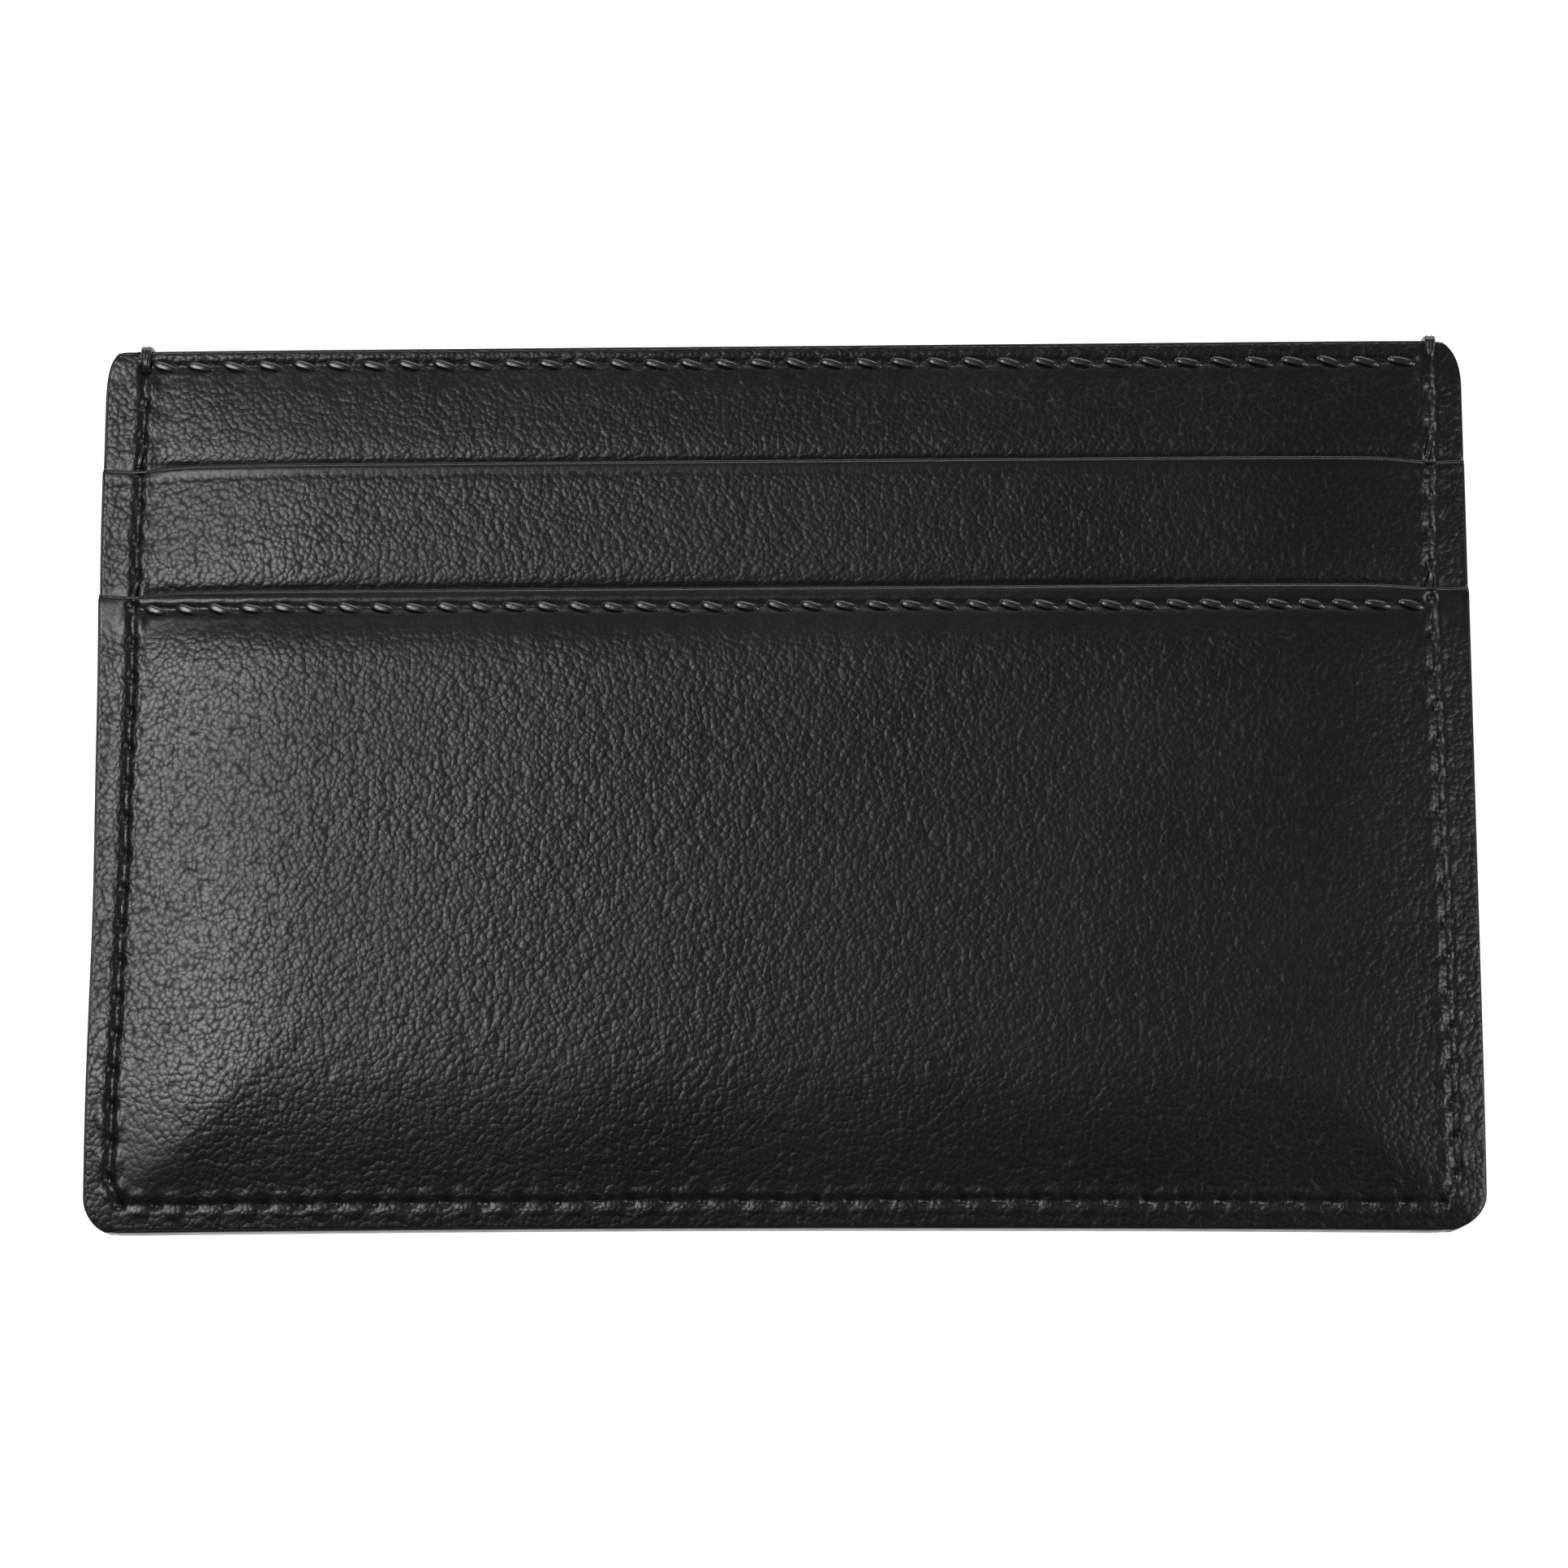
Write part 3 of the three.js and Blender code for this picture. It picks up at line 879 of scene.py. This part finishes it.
for face, sign in PAIR:
    lips = (
        ("pocket", lip_path(POCKET_LIP), pocket_height, POCKET_LEATHER + FABRIC),
        ("slot", lip_path(SLOT_LIP), slot_height, SLOT_LEATHER),
        ("top", top_path(), body_height, BODY_LEATHER),
    )
    for part, path, height, thickness in lips:
        paint_pieces.append(lip_paint(face, sign, part, path, height, thickness))
        print(paint_pieces[-1].name, len(path), "sections")

# %% [markdown]
# ## Stitches
#
# Every seam is the same small arch of thread, repeated from hole to hole, so a node tree makes
# it. The tree is given a chain of holes. Each edge of the chain becomes a point with a direction,
# a stitch is put on it, and every stitch leans the same way with a little seeded disorder. The
# tree writes a UV map with the distance along the thread and the way round it, which the twist
# of the thread follows later.

# %% Helpers for building node trees
def add_node(tree, kind, sockets=None, **settings):
    """Adds a node, sets its options, and fills its sockets with values or links."""
    made = tree.nodes.new(kind)
    for name, value in settings.items():
        setattr(made, name, value)
    for name, value in (sockets or {}).items():
        if isinstance(value, bpy.types.NodeSocket):
            tree.links.new(value, made.inputs[name])
        else:
            made.inputs[name].default_value = value
    return made


def maths(tree, operation, *values):
    """The result of one sum on values or sockets."""
    node = add_node(tree, "ShaderNodeMath", dict(enumerate(values)), operation=operation)
    return node.outputs[0]


def new_tree(name, kind, inputs, outputs):
    """An empty node tree with named sockets, given as (name, socket type, default)."""
    tree = bpy.data.node_groups.new(name, kind)
    for label, socket, default in inputs:
        made = tree.interface.new_socket(label, in_out="INPUT", socket_type="NodeSocket" + socket)
        if default is not None:
            made.default_value = default
    for label, socket in outputs:
        tree.interface.new_socket(label, in_out="OUTPUT", socket_type="NodeSocket" + socket)
    return tree, tree.nodes.new("NodeGroupInput"), tree.nodes.new("NodeGroupOutput")


# %% One stitch: an arch of thread a stitch long
STITCH_POINTS = 8
STITCH_SIDES = 7
# how late a stitch turns down at its ends, and how much thinner it gets there
END_DROP = 2.6
END_THINNER = 0.35


def thread_along(tree, line, radius):
    """Turns a curve into a closed tube with a UV map: length along it, and share round it."""
    spot = add_node(tree, "GeometryNodeSplineParameter")
    length = add_node(tree, "GeometryNodeCaptureAttribute", {0: line}, domain="POINT")
    length.capture_items.new("FLOAT", "Length")
    tree.links.new(spot.outputs["Length"], length.inputs["Length"])
    ring = add_node(tree, "GeometryNodeCurvePrimitiveCircle",
                    {"Resolution": STITCH_SIDES, "Radius": 1.0})
    share = add_node(tree, "GeometryNodeCaptureAttribute", {0: ring.outputs[0]}, domain="POINT")
    share.capture_items.new("FLOAT", "Share")
    tree.links.new(spot.outputs["Factor"], share.inputs["Share"])
    tube = add_node(tree, "GeometryNodeCurveToMesh", {
        "Curve": length.outputs[0], "Profile Curve": share.outputs[0],
        "Scale": radius, "Fill Caps": True})
    uv = add_node(tree, "ShaderNodeCombineXYZ",
                  {0: length.outputs["Length"], 1: share.outputs["Share"]})
    stored = add_node(tree, "GeometryNodeStoreNamedAttribute",
                      {"Geometry": tube.outputs[0], "Name": "thread"},
                      data_type="FLOAT_VECTOR", domain="POINT")
    tree.links.new(uv.outputs[0], stored.inputs["Value"])
    smooth = add_node(tree, "GeometryNodeSetShadeSmooth", {0: stored.outputs[0]})
    return smooth.outputs[0]


def stitch_tree():
    """A row of stitches: one arch of thread, put on every edge of a chain of holes."""
    inputs = (("Holes", "Geometry", None), ("Pitch", "Float", PITCH * MM),
              ("Thread radius", "Float", 0.0002), ("Arch", "Float", 0.0002),
              ("Sunk", "Float", 0.0001), ("Lean", "Float", 0.2), ("Disorder", "Float", 0.05),
              ("Shown", "Float", 0.8), ("Flatness", "Float", 0.6),
              ("Out of the leather", "Vector", (0, 0, 1)), ("Seed", "Int", 0),
              ("Finish", "Material", None))
    tree, given, result = new_tree("row of stitches", "GeometryNodeTree", inputs,
                                   (("Stitches", "Geometry"),))
    given = given.outputs
    shown = maths(tree, "MULTIPLY", given["Pitch"], given["Shown"])
    half = maths(tree, "MULTIPLY", shown, 0.5)
    start = add_node(tree, "ShaderNodeCombineXYZ", {0: maths(tree, "MULTIPLY", half, -1.0)})
    stop = add_node(tree, "ShaderNodeCombineXYZ", {0: half})
    line = add_node(tree, "GeometryNodeCurvePrimitiveLine",
                    {"Start": start.outputs[0], "End": stop.outputs[0]})
    points = add_node(tree, "GeometryNodeResampleCurve",
                      {"Curve": line.outputs[0], "Count": STITCH_POINTS})
    spot = add_node(tree, "GeometryNodeSplineParameter")
    from_middle = maths(tree, "MULTIPLY_ADD", spot.outputs["Factor"], 2.0, -1.0)
    from_middle = maths(tree, "ABSOLUTE", from_middle)
    drop = maths(tree, "POWER", from_middle, END_DROP)
    rise = maths(tree, "SUBTRACT", 1.0, drop)
    lift = maths(tree, "SUBTRACT", maths(tree, "MULTIPLY", given["Arch"], rise), given["Sunk"])
    lift = maths(tree, "DIVIDE", lift, given["Flatness"])
    upward = add_node(tree, "ShaderNodeCombineXYZ", {2: lift})
    arch = add_node(tree, "GeometryNodeSetPosition",
                    {"Geometry": points.outputs[0], "Offset": upward.outputs[0]})
    towards_end = maths(tree, "POWER", from_middle, 2.0)
    narrow = maths(tree, "MULTIPLY_ADD", towards_end, -END_THINNER, 1.0)
    radius = maths(tree, "MULTIPLY", given["Thread radius"], narrow)
    stitch = thread_along(tree, arch.outputs[0], radius)

    ends = add_node(tree, "GeometryNodeInputMeshEdgeVertices")
    along = add_node(tree, "ShaderNodeVectorMath",
                     {0: ends.outputs["Position 2"], 1: ends.outputs["Position 1"]},
                     operation="SUBTRACT")
    held = add_node(tree, "GeometryNodeCaptureAttribute", {0: given["Holes"]}, domain="EDGE")
    held.capture_items.new("VECTOR", "Direction")
    tree.links.new(along.outputs[0], held.inputs["Direction"])
    middles = add_node(tree, "GeometryNodeMeshToPoints", {"Mesh": held.outputs[0]}, mode="EDGES")
    direction = held.outputs["Direction"]
    turned = add_node(tree, "FunctionNodeAlignRotationToVector", {"Vector": direction}, axis="X")
    upright = add_node(tree, "FunctionNodeAlignRotationToVector",
                       {"Rotation": turned.outputs[0], "Vector": given["Out of the leather"]},
                       axis="Z", pivot_axis="X")
    least = maths(tree, "MULTIPLY", given["Disorder"], -1.0)
    chance = add_node(tree, "FunctionNodeRandomValue",
                      {2: least, 3: given["Disorder"], 8: given["Seed"]}, data_type="FLOAT")
    leant = maths(tree, "ADD", given["Lean"], chance.outputs[1])
    lean = add_node(tree, "ShaderNodeCombineXYZ", {2: leant})
    as_turn = add_node(tree, "FunctionNodeEulerToRotation", {0: lean.outputs[0]})
    leaning = add_node(tree, "FunctionNodeRotateRotation",
                       {"Rotation": upright.outputs[0], "Rotate By": as_turn.outputs[0]},
                       rotation_space="LOCAL")
    length = add_node(tree, "ShaderNodeVectorMath", {0: direction}, operation="LENGTH")
    share = maths(tree, "DIVIDE", length.outputs["Value"], given["Pitch"])
    stretch = add_node(tree, "ShaderNodeCombineXYZ", {0: share, 1: 1.0, 2: given["Flatness"]})
    placed = add_node(tree, "GeometryNodeInstanceOnPoints",
                      {"Points": middles.outputs[0], "Instance": stitch,
                       "Rotation": leaning.outputs[0], "Scale": stretch.outputs[0]})
    real = add_node(tree, "GeometryNodeRealizeInstances", {0: placed.outputs[0]})
    dressed = add_node(tree, "GeometryNodeSetMaterial",
                       {"Geometry": real.outputs[0], "Material": given["Finish"]})
    tree.links.new(dressed.outputs[0], result.inputs[0])
    return tree


# %% Running a tree on a chain of holes
def run_tree(tree, name, points, values, edges=None):
    """A plain mesh object made by a tree from a chain of points in millimetres."""
    mesh = bpy.data.meshes.new(name + "_chain")
    edges = edges or [(i, i + 1) for i in range(len(points) - 1)]
    mesh.from_pydata((settled(points) * MM).tolist(), edges, [])
    piece = bpy.data.objects.new(name, mesh)
    bpy.context.scene.collection.objects.link(piece)
    modifier = piece.modifiers.new("tree", "NODES")
    modifier.node_group = tree
    sockets = {item.name: item.identifier for item in tree.interface.items_tree
               if item.item_type == "SOCKET" and item.in_out == "INPUT"}
    for label, value in values.items():
        modifier[sockets[label]] = value
    bpy.context.view_layer.update()
    ready = bpy.context.evaluated_depsgraph_get()
    result = bpy.data.meshes.new_from_object(piece.evaluated_get(ready), depsgraph=ready)
    piece.modifiers.remove(modifier)
    piece.data = result
    piece.data.name = name
    bpy.data.meshes.remove(mesh)
    return piece


stitches = stitch_tree()
thread_finish = bpy.data.materials.new("waxed_thread")
print("tree nodes:", len(stitches.nodes))

# %% Sew the seams that show
# a tight stitch is pressed flat; this and the disorder are the same for every row
FLATNESS = 0.15
DISORDER = 0.06
SEAM_LOOK = {"Arch": 0.26, "Sunk": 0.36, "Lean": -0.15, "Shown": 0.76, "Radius": 0.18}
ROW_LOOK = {"Arch": 0.22, "Sunk": 0.26, "Lean": -0.28, "Shown": 0.78, "Radius": 0.31}


def sew(name, node, holes, height, sign, seed, look, pitch=PITCH):
    """A row of stitches lying on a surface; height gives the surface above the middle plane."""
    z = MIDDLE + sign * height(holes[:, 0], holes[:, 1])
    values = {"Pitch": pitch * MM, "Thread radius": look["Radius"] * MM,
              "Arch": look["Arch"] * MM, "Sunk": look["Sunk"] * MM,
              "Lean": look["Lean"] * sign, "Shown": look["Shown"],
              "Flatness": FLATNESS, "Disorder": DISORDER, "Seed": seed,
              "Out of the leather": (0.0, 0.0, float(sign)), "Finish": thread_finish}
    piece = run_tree(stitches, name, np.column_stack([holes, z]), values)
    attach(piece, "root")
    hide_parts(node)
    print(name, len(piece.data.polygons), "faces")
    return piece


def on(height, face, sunk=0.0):
    """The height of a surface on one face of the holder, lowered by a depth."""
    return lambda x, y: height(x, y, SEEDS[face]) - sunk


sew("front_seam_thread", "perimeter_needle_thread", seam_holes,
    on(outer_height, "front"), 1, 31, SEAM_LOOK)
sew("back_seam_thread", "perimeter_bobbin_thread", seam_holes,
    on(outer_height, "back"), -1, 32, SEAM_LOOK)
for face, sign in PAIR:
    sew(f"{face}_top_row_thread", f"{face}_top_needle_thread", top_holes,
        on(body_height, face), sign, 33, ROW_LOOK)
    sew(f"{face}_lip_row_thread", f"{face}_lip_needle_thread", lip_holes,
        on(pocket_height, face), sign, 34, ROW_LOOK, pitch=LIP_PITCH)

# %% Sew the rows that lie inside
INNER_LOOK = {"Arch": 0.03, "Sunk": 0.0, "Lean": 0.0, "Shown": 0.95, "Radius": 0.1}
for face, sign in PAIR:
    under_body = on(body_height, face, BODY_LEATHER + FABRIC)
    under_pocket = on(pocket_height, face, POCKET_LEATHER + FABRIC)
    foot_outside = on(slot_height, face)
    foot_inside = on(body_height, face, BODY_LEATHER)
    rows = (("top", top_holes, under_body), ("lip", lip_holes, under_pocket),
            ("foot", foot_holes, foot_inside))
    for part, holes, height in rows:
        sew(f"{face}_{part}_row_back_thread", f"{face}_{part}_bobbin_thread", holes, height, sign,
            35, INNER_LOOK)
    sew(f"{face}_foot_row_thread", f"{face}_foot_needle_thread", foot_holes, foot_outside, sign,
        36, INNER_LOOK)

# %% [markdown]
# ## The loops over the top edge
#
# A side seam is locked by sewing twice over the top edge. Two turns of thread lie side by side
# there and stand a little above the edge. A second tree turns a short path into thread.

# %% Wrap the thread over the top edge
def loop_tree():
    """Thread that follows a chain of points."""
    inputs = (("Path", "Geometry", None), ("Thread radius", "Float", 0.0002),
              ("Spacing", "Float", 0.0002), ("Finish", "Material", None))
    tree, given, result = new_tree("thread along a path", "GeometryNodeTree", inputs,
                                   (("Thread", "Geometry"),))
    given = given.outputs
    line = add_node(tree, "GeometryNodeMeshToCurve", {"Mesh": given["Path"]})
    even = add_node(tree, "GeometryNodeResampleCurve",
                    {"Curve": line.outputs[0], "Length": given["Spacing"]}, mode="LENGTH")
    thread = thread_along(tree, even.outputs[0], given["Thread radius"])
    real = add_node(tree, "GeometryNodeRealizeInstances", {0: thread})
    dressed = add_node(tree, "GeometryNodeSetMaterial",
                       {"Geometry": real.outputs[0], "Material": given["Finish"]})
    tree.links.new(dressed.outputs[0], result.inputs[0])
    return tree


LOOP_STAND = 0.17
LOOP_SPREAD = 0.22
LOOP_LEAN = 0.22
LOOP_RADIUS, LOOP_SPACING = 0.3, 0.12


def loop_points(side, turn):
    """One turn of thread, from its hole in front, over the top edge, to its hole behind."""
    foot = TOP - FIRST_HOLE
    top = TOP + LOOP_STAND
    x = seam_at(side, TOP)
    spot = np.array([x]), np.array([foot])
    front = float(outer_height(*spot, SEEDS["front"])[0])
    behind = float(outer_height(*spot, SEEDS["back"])[0])
    drawn = [(foot, front - 0.28), (foot + 0.25, front), (foot + 0.7, front + 0.06),
             (top - 0.25, front + 0.02), (top - 0.07, front * 0.82), (top, front * 0.4), (top, 0.0)]
    back = [(y, -z * behind / front) for y, z in reversed(drawn[:-1])]
    line = np.array(drawn + back)
    share = np.linspace(0, 1, len(line))
    shift = turn * LOOP_SPREAD * np.sin(np.pi * share) ** 0.5 + LOOP_LEAN * (share - 0.5) * turn
    return np.column_stack([x + shift, line[:, 0], MIDDLE + line[:, 1]])


points, edges = [], []
for side in (-1, 1):
    for turn in (-1, 1):
        path = loop_points(side, turn)
        first = len(points)
        points += path.tolist()
        edges += [(first + i, first + i + 1) for i in range(len(path) - 1)]
loop_values = {"Thread radius": LOOP_RADIUS * MM, "Spacing": LOOP_SPACING * MM,
               "Finish": thread_finish}
side_loops = run_tree(loop_tree(), "side_seam_loops", points, loop_values, edges)
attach(side_loops, "root")
print("loops:", len(side_loops.data.polygons), "faces")

# %% [markdown]
# ## Finishes
#
# Four finishes cover the holder: grained leather, edge paint, waxed thread and lining. Grain,
# handling, twist and weave are node groups that give out only heights and masks, and each
# material feeds them to its own shader. All of them read positions on the piece itself.

# %% Grain and handling, as node groups
# how far the cells are drifted out of line, what the broad unevenness adds to a cell's height,
# and how much of both a full press takes away
GRAIN_DRIFT = 0.0005
BROAD_HEIGHT = 1.3
PRESSED_FLAT = 0.75


def grain_group():
    """Pebble grain: rounded cells parted by fine creases, flattened where leather is pressed."""
    inputs = (("Position", "Vector", None), ("Cells per metre", "Float", 1800.0),
              ("Pressed", "Float", 0.0))
    outputs = (("Height", "Float"), ("Crease", "Float"))
    tree, given, result = new_tree("pebble grain", "ShaderNodeTree", inputs, outputs)
    given = given.outputs
    drift = add_node(tree, "ShaderNodeTexNoise",
                     {"Vector": given["Position"], "Scale": 900.0, "Detail": 2.0})
    centred = add_node(tree, "ShaderNodeVectorMath",
                       {0: drift.outputs["Color"], 1: (0.5, 0.5, 0.5)}, operation="SUBTRACT")
    drifted = add_node(tree, "ShaderNodeVectorMath",
                       {0: centred.outputs[0], 1: (GRAIN_DRIFT,) * 3, 2: given["Position"]},
                       operation="MULTIPLY_ADD")
    cells = add_node(tree, "ShaderNodeTexVoronoi",
                     {"Vector": drifted.outputs[0], "Scale": given["Cells per metre"]},
                     feature="F1")
    far = maths(tree, "POWER", cells.outputs["Distance"], 2.0)
    pebble = maths(tree, "SUBTRACT", 1.0, far)
    wide = add_node(tree, "ShaderNodeTexNoise",
                    {"Vector": given["Position"], "Scale": 700.0, "Detail": 1.0})
    height = maths(tree, "MULTIPLY_ADD", wide.outputs["Fac"], BROAD_HEIGHT, pebble)
    left = maths(tree, "MULTIPLY_ADD", given["Pressed"], -PRESSED_FLAT, 1.0)
    tree.links.new(maths(tree, "MULTIPLY", height, left), result.inputs["Height"])
    # the crease mask sets roughness, and in the leather it also darkens the colour as painted shade
    # in the creases
    tree.links.new(maths(tree, "MULTIPLY", far, left), result.inputs["Crease"])
    return tree


def handling_group():
    """Broad, soft changes of shine and tone, as from handling."""
    inputs = (("Position", "Vector", None), ("Size", "Float", 90.0), ("Low", "Float", 0.0),
              ("High", "Float", 1.0))
    tree, given, result = new_tree("handling", "ShaderNodeTree", inputs, (("Value", "Float"),))
    given = given.outputs
    cloud = add_node(tree, "ShaderNodeTexNoise",
                     {"Vector": given["Position"], "Scale": given["Size"], "Detail": 4.0})
    spread = add_node(tree, "ShaderNodeMapRange",
                      {"Value": cloud.outputs["Fac"], "From Min": 0.3, "From Max": 0.7,
                       "To Min": given["Low"], "To Max": given["High"]})
    tree.links.new(spread.outputs[0], result.inputs[0])
    return tree


grain = grain_group()
handling = handling_group()


def place(tree, group, sockets):
    """Puts a node group into a material."""
    node = tree.nodes.new("ShaderNodeGroup")
    node.node_tree = group
    for name, value in sockets.items():
        if isinstance(value, bpy.types.NodeSocket):
            tree.links.new(value, node.inputs[name])
        else:
            node.inputs[name].default_value = value
    return node.outputs


def start_finish(material, color, roughness):
    """A material's shader with its plain values, and the position on the piece."""
    material.use_nodes = True
    tree = material.node_tree
    shader = tree.nodes["Principled BSDF"]
    shader.inputs["Base Color"].default_value = (*color, 1)
    shader.inputs["Roughness"].default_value = roughness
    position = tree.nodes.new("ShaderNodeTexCoord").outputs["Object"]
    return tree, shader, position


def raised(tree, shader, height, distance):
    """Bump of a given depth in metres."""
    bump_node = add_node(tree, "ShaderNodeBump",
                         {"Height": height, "Distance": distance, "Strength": 1.0})
    tree.links.new(bump_node.outputs[0], shader.inputs["Normal"])


# %% Grained leather
LEATHER_TONE = (0.007, 0.007, 0.0072)
GRAIN_CELLS = 2500.0
GRAIN_DEPTH = 0.00004
# the creases between the cells are rougher by the first, and darkened by the second as painted
# shade
CREASE_ROUGHER, CREASE_PAINTED_SHADE = 0.12, 0.45
leather = bpy.data.materials.new("grained_leather")
tree, shader, position = start_finish(leather, LEATHER_TONE, 0.4)
pressed = add_node(tree, "ShaderNodeAttribute", attribute_name="pressed").outputs["Fac"]
pebbles = place(tree, grain,
                {"Position": position, "Cells per metre": GRAIN_CELLS, "Pressed": pressed})
shine = place(tree, handling, {"Position": position, "Size": 70.0, "Low": 0.30, "High": 0.36})
rough = maths(tree, "MULTIPLY_ADD", pebbles["Crease"], CREASE_ROUGHER, shine["Value"])
tree.links.new(rough, shader.inputs["Roughness"])
# painted shade: the leather's colour is darkened in the creases between the grain cells
tone = maths(tree, "MULTIPLY_ADD", pebbles["Crease"], -CREASE_PAINTED_SHADE, 1.0)
tinted = add_node(tree, "ShaderNodeVectorMath", {0: LEATHER_TONE, "Scale": tone},
                  operation="SCALE")
tree.links.new(tinted.outputs[0], shader.inputs["Base Color"])
raised(tree, shader, pebbles["Height"], GRAIN_DEPTH)
for piece in leather_pieces:
    piece.data.materials.append(leather)

# %% Edge paint
PAINT_TONE = (0.009, 0.009, 0.0095)
PAINT_DEPTH = 0.00002
edge_paint = bpy.data.materials.new("edge_paint")
tree, shader, position = start_finish(edge_paint, PAINT_TONE, 0.34)
specks = add_node(tree, "ShaderNodeTexNoise", {"Vector": position, "Scale": 2600.0, "Detail": 3.0})
shine = place(tree, handling, {"Position": position, "Size": 400.0, "Low": 0.28, "High": 0.42})
tree.links.new(shine["Value"], shader.inputs["Roughness"])
raised(tree, shader, specks.outputs["Fac"], PAINT_DEPTH)
for piece in paint_pieces:
    piece.data.materials.append(edge_paint)


# %% Waxed thread
def twist_group():
    """Strands that wind round a thread, from its own map of length and way round."""
    inputs = (("Thread", "Vector", None), ("Lay", "Float", 0.0006), ("Strands", "Float", 1.0))
    tree, given, result = new_tree("thread twist", "ShaderNodeTree", inputs,
                                   (("Height", "Float"),))
    given = given.outputs
    split = add_node(tree, "ShaderNodeSeparateXYZ", {0: given["Thread"]}).outputs
    turns = maths(tree, "DIVIDE", split[0], given["Lay"])
    place_round = maths(tree, "MULTIPLY_ADD", split[1], given["Strands"], turns)
    angle = maths(tree, "MULTIPLY", place_round, np.pi)
    wave_height = maths(tree, "ABSOLUTE", maths(tree, "SINE", angle))
    tree.links.new(wave_height, result.inputs[0])
    return tree


twist = twist_group()
THREAD_TONE = (0.016, 0.016, 0.0165)
THREAD_LAY, TWIST_DEPTH = 0.0008, 0.000012
tree, shader, position = start_finish(thread_finish, THREAD_TONE, 0.31)
shader.inputs["Specular IOR Level"].default_value = 0.8
own_map = add_node(tree, "ShaderNodeAttribute", attribute_name="thread").outputs["Vector"]
strands = place(tree, twist, {"Thread": own_map, "Lay": THREAD_LAY, "Strands": 1.0})
raised(tree, shader, strands["Height"], TWIST_DEPTH)


# %% Lining
def weave_group():
    """A plain weave: warp and weft threads that pass over each other in turn."""
    inputs = (("Position", "Vector", None), ("Thread gap", "Float", 0.00025))
    tree, given, result = new_tree("plain weave", "ShaderNodeTree", inputs,
                                   (("Height", "Float"), ("Weft", "Float")))
    given = given.outputs
    scaled = add_node(tree, "ShaderNodeVectorMath", {0: given["Position"]}, operation="SCALE")
    tree.links.new(maths(tree, "DIVIDE", np.pi, given["Thread gap"]), scaled.inputs["Scale"])
    split = add_node(tree, "ShaderNodeSeparateXYZ", {0: scaled.outputs[0]}).outputs
    warp, weft = maths(tree, "SINE", split[0]), maths(tree, "SINE", split[1])
    crossing = maths(tree, "MULTIPLY", warp, weft)
    over = maths(tree, "GREATER_THAN", crossing, 0.0)
    height = maths(tree, "MAXIMUM", maths(tree, "ABSOLUTE", warp), maths(tree, "ABSOLUTE", weft))
    tree.links.new(height, result.inputs["Height"])
    tree.links.new(over, result.inputs["Weft"])
    return tree


weave = weave_group()
LINING_TONE = (0.016, 0.016, 0.017)
WEAVE_GAP, WEAVE_DEPTH = 0.00025, 0.00004
WARP_SHADE, WEFT_LIGHTER = 0.85, 0.3
lining_cloth = bpy.data.materials.new("lining_cloth")
tree, shader, position = start_finish(lining_cloth, LINING_TONE, 0.75)
cloth = place(tree, weave, {"Position": position, "Thread gap": WEAVE_GAP})
tone = maths(tree, "MULTIPLY_ADD", cloth["Weft"], WEFT_LIGHTER, WARP_SHADE)
tinted = add_node(tree, "ShaderNodeVectorMath", {0: LINING_TONE, "Scale": tone},
                  operation="SCALE")
tree.links.new(tinted.outputs[0], shader.inputs["Base Color"])
raised(tree, shader, cloth["Height"], WEAVE_DEPTH)
for piece in lining_pieces:
    piece.data.materials.append(lining_cloth)

# %% [markdown]
# ## Floor and light
#
# The holder lies on a pale floor that glows a little, so its shadows stay faint. One soft light
# on the left is the key: its reflection runs across the leather from bright to dark and brings
# out the grain. A rim light from beyond the top edge draws the lips, and a low fill on the right
# catches the margin that bends down there. A weak, even surround keeps the rest from going black.

# %% Floor, lights and surround
FLOOR_REACH = 3.0
FLOOR_TONE = (0.85, 0.85, 0.85)
FLOOR_GLOW = 0.96
SURROUND = 0.05
floor_mesh = bpy.data.meshes.new("floor")
lowest = min(0.0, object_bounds()[0][2])
corners = [(u * FLOOR_REACH, v * FLOOR_REACH, lowest)
           for u, v in ((-1, -1), (1, -1), (1, 1), (-1, 1))]
floor_mesh.from_pydata(corners, [], [(0, 1, 2, 3)])
floor = bpy.data.objects.new("floor", floor_mesh)
bpy.context.scene.collection.objects.link(floor)
floor_finish = bpy.data.materials.new("pale_floor")
tree, shader, position = start_finish(floor_finish, FLOOR_TONE, 0.9)
shader.inputs["Emission Color"].default_value = (1, 1, 1, 1)
shader.inputs["Emission Strength"].default_value = FLOOR_GLOW
floor.data.materials.append(floor_finish)


def soft_light(name, place_at, size, power, target=(0, 0, 0)):
    """A rectangular light that faces a point."""
    lamp = bpy.data.lights.new(name, "AREA")
    lamp.shape = "RECTANGLE"
    lamp.size, lamp.size_y = size
    lamp.energy = power
    made = bpy.data.objects.new(name, lamp)
    bpy.context.scene.collection.objects.link(made)
    made.location = place_at
    facing = Vector(target) - Vector(place_at)
    made.rotation_euler = facing.to_track_quat("-Z", "Y").to_euler()


soft_light("key", (-0.20, 0.07, 0.42), (0.12, 0.10), 0.8)
soft_light("rim", (0.05, 0.50, 0.20), (0.50, 0.12), 1.1)
soft_light("fill", (0.36, -0.05, 0.30), (0.10, 0.16), 0.6)
world = bpy.data.worlds.new("surround")
bpy.context.scene.world = world
world.use_nodes = True
world.node_tree.nodes["Background"].inputs["Color"].default_value = (1, 1, 1, 1)
world.node_tree.nodes["Background"].inputs["Strength"].default_value = SURROUND
bpy.context.scene.view_settings.view_transform = "Standard"
